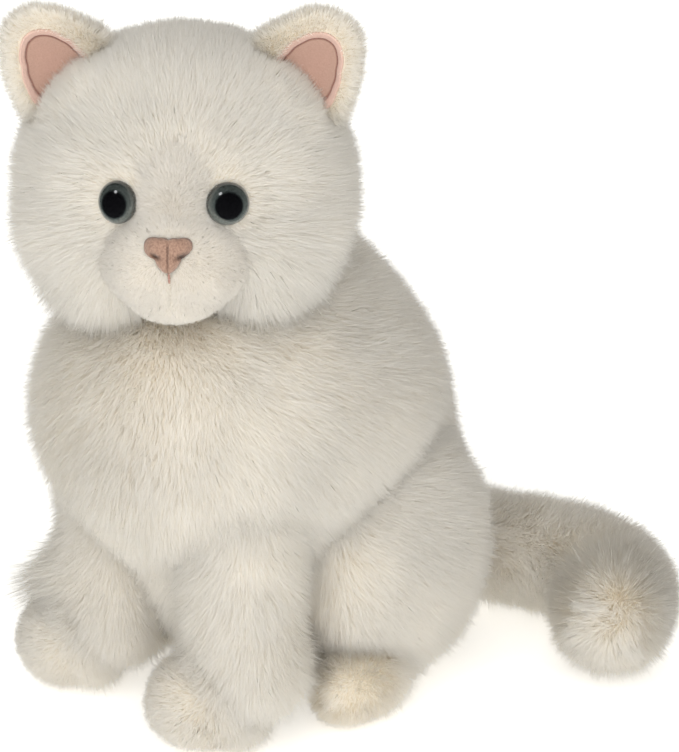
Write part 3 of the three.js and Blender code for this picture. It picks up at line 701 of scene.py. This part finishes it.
def disc(edge, n=72, m=14):
    a = np.linspace(-np.pi, np.pi, n, endpoint=False)
    t = np.sin(np.linspace(0, np.pi / 2, m + 1)[1:])
    R = edge_radius(edge, a)
    X = EAR_MID[0] + t[:, None] * (R * np.cos(a))[None]
    Z = EAR_MID[1] + t[:, None] * (R * np.sin(a))[None]
    return np.append(X.ravel(), EAR_MID[0]), np.append(Z.ravel(), EAR_MID[1]), n, m


def closed_disc(edge, front, back, n=72, m=14):
    X, Z, n, m = disc(edge, n, m)
    F = np.stack([X, front(X, Z), Z], 1)
    B = np.stack([X, back(X, Z), Z], 1)
    # the last ring is shared
    ring = slice((m - 1) * n, m * n)
    mid = (F[ring] + B[ring]) / 2
    F[ring] = mid
    Bi = np.concatenate([B[:(m - 1) * n], B[-1:]])
    V = np.vstack([F, Bi])
    off = len(F)
    bi = lambda r, k: off + r * n + k if r < m - 1 else (m - 1) * n + k
    f = []
    for r in range(m - 1):
        for k in range(n):
            j = (k + 1) % n
            f.append((r * n + k, r * n + j, (r + 1) * n + j, (r + 1) * n + k))
            f.append((bi(r, k), bi(r + 1, k), bi(r + 1, j), bi(r, j)))
    for k in range(n):
        j = (k + 1) % n
        f.append((m * n, j, k))
        f.append((off + (m - 1) * n, bi(0, k), bi(0, j)))
    return V, f


def lining_front(X, Z):
    y, rho, rl = ear_front(X, Z)
    band = sstep(0.78, 0.84, rl)
    seam = np.exp(-((rl - 0.79) / 0.022) ** 2)
    return y - 0.55 - 0.55 * band * (1 - sstep(0.96, 1.0, rl)) + 0.55 * seam


def lining_back(X, Z):
    return ear_front(X, Z)[0] + 0.25


M_PINK, nt, b = new_mat("ear_velour")
at = nt.nodes.new("ShaderNodeAttribute"); at.attribute_name = "rim"
n1 = nt.nodes.new("ShaderNodeTexNoise"); n1.inputs["Scale"].default_value = 1500; n1.inputs["Detail"].default_value = 4
n2 = nt.nodes.new("ShaderNodeTexNoise"); n2.inputs["Scale"].default_value = 160; n2.inputs["Detail"].default_value = 2
tc = nt.nodes.new("ShaderNodeTexCoord")
nt.links.new(tc.outputs["Object"], n1.inputs["Vector"]); nt.links.new(tc.outputs["Object"], n2.inputs["Vector"])
# inside the seam the lining is coloured darker than the band outside it: painted shade in the ear's hollow; the dark
# line at the seam is the stitch line
r = ramp(nt, [(0.0, srgb(184, 150, 136)), (0.72, srgb(190, 156, 141)), (0.775, srgb(140, 104, 93)), (0.83, srgb(214, 180, 167)), (1.0, srgb(220, 190, 178))])
nt.links.new(at.outputs["Fac"], r.inputs[0])
mx = nt.nodes.new("ShaderNodeMix"); mx.data_type = "RGBA"; mx.blend_type = "MULTIPLY"; mx.inputs[0].default_value = 0.5
g = ramp(nt, [(0.3, (0.80, 0.76, 0.74)), (0.7, (1, 1, 1))])
ad = nt.nodes.new("ShaderNodeMath"); ad.operation = "MULTIPLY_ADD"; ad.inputs[1].default_value = 0.5; ad.inputs[2].default_value = 0.25
nt.links.new(n1.outputs["Fac"], ad.inputs[0]); nt.links.new(n1.outputs["Fac"], g.inputs[0])
nt.links.new(r.outputs[0], mx.inputs[6]); nt.links.new(g.outputs[0], mx.inputs[7])
nt.links.new(mx.outputs[2], b.inputs["Base Color"])
bp = nt.nodes.new("ShaderNodeBump"); bp.inputs["Strength"].default_value = 0.5; bp.inputs["Distance"].default_value = 0.0005
nt.links.new(n1.outputs["Fac"], bp.inputs["Height"]); nt.links.new(bp.outputs[0], b.inputs["Normal"])
b.inputs["Roughness"].default_value = 0.95
b.inputs["Specular IOR Level"].default_value = 0.15
b.inputs["Sheen Weight"].default_value = 0.35
M_THREAD = cloth_material("ear_thread", srgb(150, 106, 96), srgb(176, 132, 120), scale=2500, bump=0.3, sheen=0.1)


def tube(points, radius, sides=8):
    """A capped tube along points."""
    P = np.asarray(points, float)
    T = norm(np.gradient(P, axis=0))
    ref = np.array([0.0, 0, 1]) if abs(T[0][2]) < 0.8 else np.array([1.0, 0, 0])
    v, f = [], []
    for k in range(len(P)):
        s = np.cross(T[k], ref); s /= np.linalg.norm(s)
        u = np.cross(s, T[k])
        rr = radius * (0.55 if k in (0, len(P) - 1) else 1.0)
        for a in range(sides):
            w = 2 * np.pi * a / sides
            v.append(P[k] + (s * np.cos(w) + u * np.sin(w)) * rr)
    for k in range(len(P) - 1):
        for a in range(sides):
            j = (a + 1) % sides
            f.append((k * sides + a, k * sides + j, (k + 1) * sides + j, (k + 1) * sides + a))
    f.append(tuple(range(sides))[::-1])
    f.append(tuple((len(P) - 1) * sides + a for a in range(sides)))
    return np.array(v), f


ears = []
for side, sx in (("left", 1), ("right", -1)):
    v, f = closed_disc(SHELL_EDGE, lambda X, Z: ear_front(X, Z)[0], ear_back_face)
    v = h2w(ear2h(v, sx))
    o = to_object(f"ear_shell_{side}", v, outward(v, f))
    o.data.materials.append(M_BACK)
    v, f = closed_disc(LINING_EDGE, lining_front, lining_back, n=120, m=40)
    rim = np.clip(ear_front(v[:, 0], v[:, 2])[2], 0, 1)
    w = h2w(ear2h(v, sx))
    l = to_object(f"ear_lining_{side}_cloth", w, outward(w, f))
    l.data.materials.append(M_PINK)
    A = l.data.attributes.new("rim", "FLOAT", "POINT")
    A.data.foreach_set("value", rim.astype(np.float32))
    # stitches along the seam
    tv, tf, cnt = [], [], 0
    for k in range(46):
        a0 = -np.pi + 2 * np.pi * (k + 0.18) / 46
        a = a0 + np.linspace(0, 2 * np.pi * 0.62 / 46, 5)
        R = edge_radius(LINING_EDGE, a) * 0.79
        X, Z = EAR_MID[0] + R * np.cos(a), EAR_MID[1] + R * np.sin(a)
        if Z.mean() < -1.5:
            continue
        Y = lining_front(X, Z) - np.array([0.0, 0.16, 0.22, 0.16, 0.0])
        q, qf = tube(h2w(ear2h(np.stack([X, Y, Z], 1), sx)), 0.24, 6)
        tv.append(q); tf += [tuple(i + cnt for i in z) for z in qf]; cnt += len(q)
    t = to_object(f"ear_stitches_{side}", np.vstack(tv), tf)
    t.data.materials.append(M_THREAD)
    ears.append((side, sx, o, l, t))

# ------------------------------------------------------------------ muzzle: one round ball with soft puffs, running up between the eyes
mz = [ellipsoid([0, -47.6, -17.3], [26.4, 21.0, 19.8]), ellipsoid([0, -51, -28.0], [17.5, 14.5, 11.0])]
for s in (1, -1):
    mz.append(ellipsoid([s * 8.5, -56.3, -19.3], [13.8, 11.8, 11.8]))
mz.append(ellipsoid([0, -45.6, 1.0], [15.5, 13.0, 24.5], R=rot("x", -8)))
mz.append(ellipsoid([0, -53.8, -8], [14.4, 12.4, 10.6]))
muzzle = union_skin("muzzle_skin", [(h2w(v), f) for v, f in mz], 1.3, smooth=24)
mc = w2h(coords(muzzle))
cleft = np.exp(-(mc[:, 0] / 1.7) ** 2) * sstep(-13, -17, mc[:, 2]) * sstep(-34, -26, mc[:, 2]) * (mc[:, 1] < -55)
mc[:, 1] += 1.3 * cleft
set_coords(muzzle, h2w(mc))
muzzle.data.materials.append(M_MUZZLE)


NOSE_AT = np.array([-0.4, -68.6, -8.2])
NOSE_EDGE = np.array([(-9.9, 5.2), (-8.6, 6.3), (-4, 6.4), (0, 5.7), (4, 6.2), (8.3, 6.3), (9.6, 5.0), (9.7, 2.4), (7.4, 0.2), (5.2, -1.2), (3.9, -4.0), (1.8, -6.0), (0.1, -6.8), (-1.8, -6.2), (-4.0, -4.4), (-5.6, -1.5), (-8.0, -0.6), (-10.0, 1.2), (-10.3, 3.4)])


def nose_radius(a):
    p = NOSE_EDGE - [0, 1.2]
    ang, rr = np.arctan2(p[:, 1], p[:, 0]), np.linalg.norm(p, axis=1)
    o = np.argsort(ang)
    ang, rr = ang[o], rr[o]
    return np.interp(a, np.concatenate([ang - 2 * np.pi, ang, ang + 2 * np.pi]), np.tile(rr, 3))


def muzzle_field(P, N):
    q = w2h(P)
    d = norm(q - [0, -76, -4])
    d[:, 2] -= 0.30 * sstep(0, -14, q[:, 2])
    up = sstep(-4, 16, q[:, 2])
    L = 3.2 + 1.0 * sstep(-58, -42, q[:, 1]) + 2.2 * up + 2.5 * sstep(8, 20, q[:, 2])
    L = L * (0.75 + 0.25 * sstep(8, 12, eye_distance(q)))
    dens = np.ones(len(q))
    dens[eye_distance(q) < EYE_R - 0.4] = 0
    e = (q - NOSE_AT) @ rot("x", -20)
    dens[(np.linalg.norm((e[:, [0, 2]] - [0, 1.2]) / [0.9, 1.0], axis=1) < 0.86 * nose_radius(np.arctan2(e[:, 2] - 1.2, e[:, 0] / 0.9))) & (q[:, 1] < -55)] = 0.0
    line = np.exp(-(q[:, 0] / 1.3) ** 2) * sstep(-11, -15, q[:, 2]) * sstep(-34, -28, q[:, 2])
    L = L * (1 - 0.55 * line)
    return d @ RH.T, L, np.full(len(q), 16.0), np.full(len(q), 44.0), dens


def ear_field(sx):
    def f(P, N):
        e = h2ear(w2h(P), sx)
        dd = np.stack([e[:, 0], e[:, 2]], 1) - EAR_MID
        ang, rr = np.arctan2(dd[:, 1], dd[:, 0]), np.linalg.norm(dd, axis=1)
        rl = rr / edge_radius(LINING_EDGE, ang)
        rho = rr / edge_radius(SHELL_EDGE, ang)
        d = np.zeros_like(e)
        d[:, 2] = 0.8
        radial = norm(np.stack([dd[:, 0], np.zeros(len(e)), dd[:, 1] + 4], 1))
        d = d + radial * (1.3 * sstep(0.6, 1.0, rho))[:, None]
        front = (N @ RH)
        front[:, 0] *= sx
        nf = front @ EAR_ROT
        L = np.where(nf[:, 1] < 0, 5.0, 6.2) + 1.5 * sstep(8, -2, e[:, 2])
        dens = np.where((rl < 1.01) & (nf[:, 1] < 0.2), 0.0, 1.0)
        dens[e[:, 2] < -6] = 0
        dh = d @ EAR_ROT.T
        dh[:, 0] *= sx
        edge = sstep(0.75, 1.0, rho)
        return dh @ RH.T, L, 26 - 8 * edge, 52 - 22 * edge, dens
    return f


# ------------------------------------------------------------------ pile
grow("pile_head", skin_head, "head", 8.0, head_field, 11, M_PILE)
grow("pile_body", skin_body, "torso", 5.6, torso_field, 21, M_PILE)
grow("pile_leg_left", skins_leg[0], "front_leg_left", 7.5, leg_field(SH_L, ANK_L, PAW_L), 31, M_PILE)
grow("pile_leg_right", skins_leg[1], "front_leg_right", 7.5, leg_field(SH_R, ANK_R, PAW_R), 41, M_PILE)
grow("pile_tail", skin_tail, "tail", 7.5, tail_field, 51, M_PILE)
grow("pile_muzzle", muzzle, "head", 14.0, muzzle_field, 61, M_SHORT, width=0.2, clump=2.6, clump_pull=0.1)
for side, sx, o, l, t in ears:
    grow(f"pile_ear_{side}", o, f"ear_{side}", 14.0, ear_field(sx), 71 + sx, M_PILE, width=0.2, clump=3.0, clump_pull=0.08)

# ------------------------------------------------------------------ eyes: a low plastic dome, black pupil, grey-green iris ring
M_EYE, nt, b = new_mat("eye_plastic")
at = nt.nodes.new("ShaderNodeAttribute"); at.attribute_name = "ring"
sep = nt.nodes.new("ShaderNodeSeparateXYZ")
nt.links.new(at.outputs["Vector"], sep.inputs[0])
r = ramp(nt, [(0.0, (0.004, 0.004, 0.005)), (0.585, (0.005, 0.005, 0.006)), (0.64, (0.03, 0.037, 0.036)), (0.71, (0.078, 0.09, 0.086)), (0.86, (0.10, 0.115, 0.108)), (0.93, (0.05, 0.06, 0.057)), (1.0, (0.02, 0.024, 0.023))])
nt.links.new(sep.outputs["X"], r.inputs[0])
tc = nt.nodes.new("ShaderNodeTexCoord")
n1 = nt.nodes.new("ShaderNodeTexNoise"); n1.inputs["Scale"].default_value = 1500; n1.inputs["Detail"].default_value = 3
nt.links.new(tc.outputs["Object"], n1.inputs["Vector"])
g = ramp(nt, [(0.30, (0.62, 0.62, 0.62)), (0.70, (1.18, 1.18, 1.18))])
nt.links.new(n1.outputs["Fac"], g.inputs[0])
mx = nt.nodes.new("ShaderNodeMix"); mx.data_type = "RGBA"; mx.blend_type = "MULTIPLY"; mx.inputs[0].default_value = 1.0
nt.links.new(r.outputs[0], mx.inputs[6]); nt.links.new(g.outputs[0], mx.inputs[7])
# the iris is painted lighter low down and darker at the top: a painted caustic at the bottom and painted shade at the
# top
shade = ramp(nt, [(0.0, (1.5, 1.5, 1.5)), (0.45, (1.0, 1.0, 1.0)), (1.0, (0.35, 0.36, 0.36))])
nt.links.new(sep.outputs["Y"], shade.inputs[0])
m2 = nt.nodes.new("ShaderNodeMix"); m2.data_type = "RGBA"; m2.blend_type = "MULTIPLY"; m2.inputs[0].default_value = 1.0
nt.links.new(mx.outputs[2], m2.inputs[6]); nt.links.new(shade.outputs[0], m2.inputs[7])
nt.links.new(m2.outputs[2], b.inputs["Base Color"])
b.inputs["Roughness"].default_value = 0.12
b.inputs["Coat Weight"].default_value = 1.0
b.inputs["Coat Roughness"].default_value = 0.03
for side, sx in (("left", 1), ("right", -1)):
    n_eye = norm(np.array([[0.20 * sx, -0.97, 0.12]]))[0]
    e1 = norm(np.cross([0, 0, 1.0], n_eye)[None])[0]
    e2 = np.cross(n_eye, e1)
    v, f = uv_sphere(72, 48)
    rad = np.linalg.norm(v[:, :2], axis=1)
    ring = np.where(v[:, 2] > 0, rad, 1.0)
    # height across the eye, which drives the painted light and shade on the iris
    upw = 0.5 + 0.5 * v[:, 1]
    depth = np.where(v[:, 2] > 0, 5.6, 4.0)
    w = (v[:, :1] * e1 * (1.0 if sx > 0 else 0.9) + v[:, 1:2] * e2) * EYE_R + v[:, 2:] * depth[:, None] * n_eye
    w = w + EYE * [sx, 1, 1] - n_eye * 0.3
    w = h2w(w)
    o = to_object(f"eye_{side}_dome", w, outward(w, f))
    o.data.materials.append(M_EYE)
    A = o.data.attributes.new("ring", "FLOAT_VECTOR", "POINT")
    A.data.foreach_set("vector", np.stack([ring, upw, rad], 1).astype(np.float32).reshape(-1))
    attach(o, "head")
    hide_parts(f"eye_{side}")

# ------------------------------------------------------------------ nose: napped pad, broad above with a narrow lower lobe, creased down the middle
def nose_mesh(n=144, m=44):
    c = np.array([0.0, 1.2])
    a = np.linspace(-np.pi, np.pi, n, endpoint=False)
    R = nose_radius(a)
    for _ in range(3):
        R = 0.25 * np.roll(R, 1) + 0.5 * R + 0.25 * np.roll(R, -1)
    t = np.sin(np.linspace(0, np.pi / 2, m + 1)[1:])
    X = (t[:, None] * (R * np.cos(a))[None]).ravel() + c[0]
    Y = (t[:, None] * (R * np.sin(a))[None]).ravel() + c[1]
    X, Y = np.append(X, c[0]), np.append(Y, c[1])
    T = np.append(np.repeat(t, n), 0.0)
    h = 2.9 * (1 - T ** 5) ** 0.6
    crease = np.exp(-(X / 0.42) ** 2) * sstep(5.5, 2.5, Y)
    h = h - 0.75 * crease * (T < 0.99)
    nos = 0
    for s in (1, -1):
        q = ((X - s * 5.3) / 2.3) ** 2 + ((Y + 0.5 + (X - s * 5.3) * s * -0.35) / 0.95) ** 2
        nos = nos + np.exp(-q)
    h = h - 1.5 * nos * (T < 0.995)
    h = h + 0.35 * np.exp(-((np.abs(X) - 5.0) / 2.6) ** 2) * sstep(0.5, 3, Y)
    h = h - X ** 2 / 46.0
    X = X * 0.90
    front = np.stack([X, -h, Y], 1)
    back = front * [1, 0, 1] + np.array([0, 2.0, 0])
    V = np.vstack([front, back[:m * n], back[-1:]])
    k0 = len(front)
    f = []
    for r_ in range(m - 1):
        for k in range(n):
            j = (k + 1) % n
            f.append((r_ * n + k, (r_ + 1) * n + k, (r_ + 1) * n + j, r_ * n + j))
            f.append((k0 + r_ * n + k, k0 + r_ * n + j, k0 + (r_ + 1) * n + j, k0 + (r_ + 1) * n + k))
    for k in range(n):
        j = (k + 1) % n
        f.append((m * n, k, j))
        f.append((k0 + m * n, k0 + j, k0 + k))
        f.append(((m - 1) * n + k, k0 + (m - 1) * n + k, k0 + (m - 1) * n + j, (m - 1) * n + j))
    # tone: painted shade in the nostril dents and the centre crease, and darker along the top edge
    tone = np.clip(1 - 1.0 * nos - 0.35 * crease - 0.6 * sstep(0.90, 1.0, T) * sstep(3, 5.5, Y), 0, 1)
    tone = np.concatenate([tone, np.zeros(len(V) - k0)])
    return V, f, tone


M_NOSE, nt, b = new_mat("nose_nap")
at = nt.nodes.new("ShaderNodeAttribute"); at.attribute_name = "tone"
r = ramp(nt, [(0.0, srgb(70, 50, 40)), (0.45, srgb(122, 96, 82)), (1.0, srgb(162, 133, 117))])
nt.links.new(at.outputs["Fac"], r.inputs[0])
tc = nt.nodes.new("ShaderNodeTexCoord")
n1 = nt.nodes.new("ShaderNodeTexNoise"); n1.inputs["Scale"].default_value = 1300; n1.inputs["Detail"].default_value = 5
nt.links.new(tc.outputs["Object"], n1.inputs["Vector"])
g = ramp(nt, [(0.34, (0.66, 0.60, 0.56)), (0.66, (1.16, 1.13, 1.10))])
nt.links.new(n1.outputs["Fac"], g.inputs[0])
mx = nt.nodes.new("ShaderNodeMix"); mx.data_type = "RGBA"; mx.blend_type = "MULTIPLY"; mx.inputs[0].default_value = 0.8
nt.links.new(r.outputs[0], mx.inputs[6]); nt.links.new(g.outputs[0], mx.inputs[7])
nt.links.new(mx.outputs[2], b.inputs["Base Color"])
bp = nt.nodes.new("ShaderNodeBump"); bp.inputs["Strength"].default_value = 0.6; bp.inputs["Distance"].default_value = 0.0005
nt.links.new(n1.outputs["Fac"], bp.inputs["Height"]); nt.links.new(bp.outputs[0], b.inputs["Normal"])
b.inputs["Roughness"].default_value = 0.9
b.inputs["Specular IOR Level"].default_value = 0.2
b.inputs["Sheen Weight"].default_value = 0.3

v, f, tone = nose_mesh()
w = h2w(v @ rot("x", -20).T + NOSE_AT)
nose = to_object("nose_cloth", w, outward(w, f))
nose.data.materials.append(M_NOSE)
A = nose.data.attributes.new("tone", "FLOAT", "POINT")
A.data.foreach_set("value", tone.astype(np.float32))
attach(nose, "head")
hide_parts("nose_pad")

# mouth: two twisted threads sewn down from the nose
bpy.context.view_layer.update()
muz_inv = muzzle.matrix_world.inverted()
pts = []
for z in np.linspace(-13.6, -19.0, 22):
    o_w, d_w = h2w([[-0.2, -110, z]])[0] * MM, RH @ np.array([0, 1.0, 0])
    hit, loc, nrm, _ = muzzle.ray_cast(Vector(o_w), Vector(d_w))
    pts.append(w2h(np.array(loc) / MM) + [0, -2.0, 0] if hit else [-0.2, -72, z])
pts = np.array(pts)
tv, tf, cnt = [], [], 0
for ph in (0, np.pi):
    w_ = np.linspace(0, 5 * np.pi, len(pts)) + ph
    line = pts + np.stack([0.24 * np.cos(w_), 0.24 * np.sin(w_), 0 * w_], 1)
    q, qf = tube(h2w(line), 0.23, 8)
    tv.append(q); tf += [tuple(i + cnt for i in z) for z in qf]; cnt += len(q)
M_MOUTH = cloth_material("mouth_thread", srgb(168, 128, 116), srgb(192, 152, 140), scale=2500, bump=0.3, sheen=0.1)
mouth = to_object("mouth_threads", np.vstack(tv), tf)
mouth.data.materials.append(M_MOUTH)
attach(mouth, "head")
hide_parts("mouth_stitch")

# ------------------------------------------------------------------ riding, replacing, slots
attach(skin_body, "torso")
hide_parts("torso_side_left", "torso_side_right", "chest_panel", "base_panel", "body_stuffing", "pellet_bag",
            "haunch_left", "haunch_right", "haunch_stuffing_left", "haunch_stuffing_right", "hind_foot_left", "hind_foot_right",
            "hind_foot_sole_left", "hind_foot_sole_right", "hind_foot_stuffing_left", "hind_foot_stuffing_right", "neck_sleeve", "neck_stuffing")
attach(skin_head, "head")
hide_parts("head_side_left", "head_side_right", "forehead_gusset", "head_back_left", "head_back_right", "chin_panel", "head_stuffing")
for side, o in zip(("left", "right"), skins_leg):
    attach(o, f"front_leg_{side}")
    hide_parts(f"front_leg_outer_{side}", f"front_leg_inner_{side}", f"front_paw_{side}", f"front_leg_stuffing_{side}")
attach(skin_tail, "tail")
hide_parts("tail_upper", "tail_lower", "tail_stuffing")
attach(muzzle, "head")
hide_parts("muzzle_cover")
for side, sx, o, l, t in ears:
    for q in (o, l, t):
        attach(q, f"ear_{side}")
    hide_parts(f"ear_back_{side}")
    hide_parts(f"ear_lining_{side}")

M_WASH = cloth_material("washer_plastic", (0.80, 0.80, 0.78), (0.86, 0.86, 0.84), scale=300, bump=0.05, rough=0.4, sheen=0.0)
for n in ("eye_washer_left", "eye_washer_right"):
    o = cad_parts[n]
    o.data.materials.clear()
    o.data.materials.append(M_WASH)

# ------------------------------------------------------------------ floor, light, camera
fv = np.array([[-1500, -1500, 0], [1500, -1500, 0], [1500, 1500, 0], [-1500, 1500, 0]], float) * 3
floor = to_object("studio_floor", fv, [(0, 1, 2, 3)], smooth=False)
M_FLOOR, nt, b = new_mat("floor_paint")
b.inputs["Base Color"].default_value = (0.93, 0.93, 0.92, 1)
b.inputs["Emission Color"].default_value = (1.0, 0.985, 0.95, 1)
b.inputs["Emission Strength"].default_value = 0.50
b.inputs["Roughness"].default_value = 0.95
b.inputs["Specular IOR Level"].default_value = 0.1
floor.data.materials.append(M_FLOOR)
floor.visible_glossy = False

world = bpy.data.worlds.new("studio")
bpy.context.scene.world = world
world.use_nodes = True
world.node_tree.nodes["Background"].inputs[0].default_value = (1.0, 0.975, 0.92, 1)
world.node_tree.nodes["Background"].inputs[1].default_value = 0.47
world.cycles_visibility.glossy = False


def area(name, loc, target, size, power, color=(1, 1, 1), gloss=True):
    l = bpy.data.lights.new(name, "AREA")
    l.shape = "DISK"
    l.size = size
    l.energy = power
    l.color = color
    o = bpy.data.objects.new(name, l)
    o.location = loc
    o.rotation_euler = (Vector(target) - Vector(loc)).to_track_quat("-Z", "Y").to_euler()
    bpy.context.scene.collection.objects.link(o)
    o.visible_glossy = gloss
    return o


AZ, EL, DIST, PX = 43.3, 22.75, 1150.0, 0.405
az, el = math.radians(AZ), math.radians(EL)
back = np.array([math.sin(az) * math.cos(el), -math.cos(az) * math.cos(el), math.sin(el)])
right = np.array([math.cos(az), math.sin(az), 0.0])
up = np.cross(back, right)
target = np.array([0, 0, 150.0]) + right * (339.5 - 252) * PX + up * (339 - 376) * PX
cam_loc = target + back * DIST
area("key_light", (cam_loc + right * -480 + up * 620) * MM, (0, 0, 0.15), 0.32, 1.45, (0.97, 0.985, 1.0))
area("top_light", (0.35, -0.55, 1.5), (0.02, -0.01, 0.15), 1.2, 2.45, (1, 0.995, 0.98), gloss=False)
area("soft_light", (cam_loc + right * -60 + up * 0) * MM, (0.03, 0, 0.08), 1.5, 9.3, (0.985, 0.99, 1.0), gloss=False)
area("side_light", (cam_loc + right * 900 + up * 200) * MM, (0.08, 0.05, 0.08), 1.0, 0.7, (0.99, 0.99, 1.0), gloss=False)
area("back_light", (-0.95, 1.05, 0.75), (0.0, 0.0, 0.14), 1.2, 5.0, (1.0, 0.995, 0.985), gloss=False)

cam = bpy.data.cameras.new("camera")
cam.sensor_fit = "HORIZONTAL"
cam.sensor_width = 36
cam.lens = DIST / PX / 679 * 36
cam.clip_start = 0.01
cam.clip_end = 50
co = bpy.data.objects.new("camera", cam)
co.location = cam_loc * MM
co.rotation_euler = Vector(back).to_track_quat("Z", "Y").to_euler()
bpy.context.scene.collection.objects.link(co)
bpy.context.scene.camera = co
bpy.context.scene.cycles.max_bounces = 24
bpy.context.scene.cycles.diffuse_bounces = 16
bpy.context.scene.cycles.transmission_bounces = 20
vs = bpy.context.scene.view_settings
vs.view_transform = "Standard"
vs.look = "None"

print("PILE", PIECES, sum(p[2] for p in PIECES))
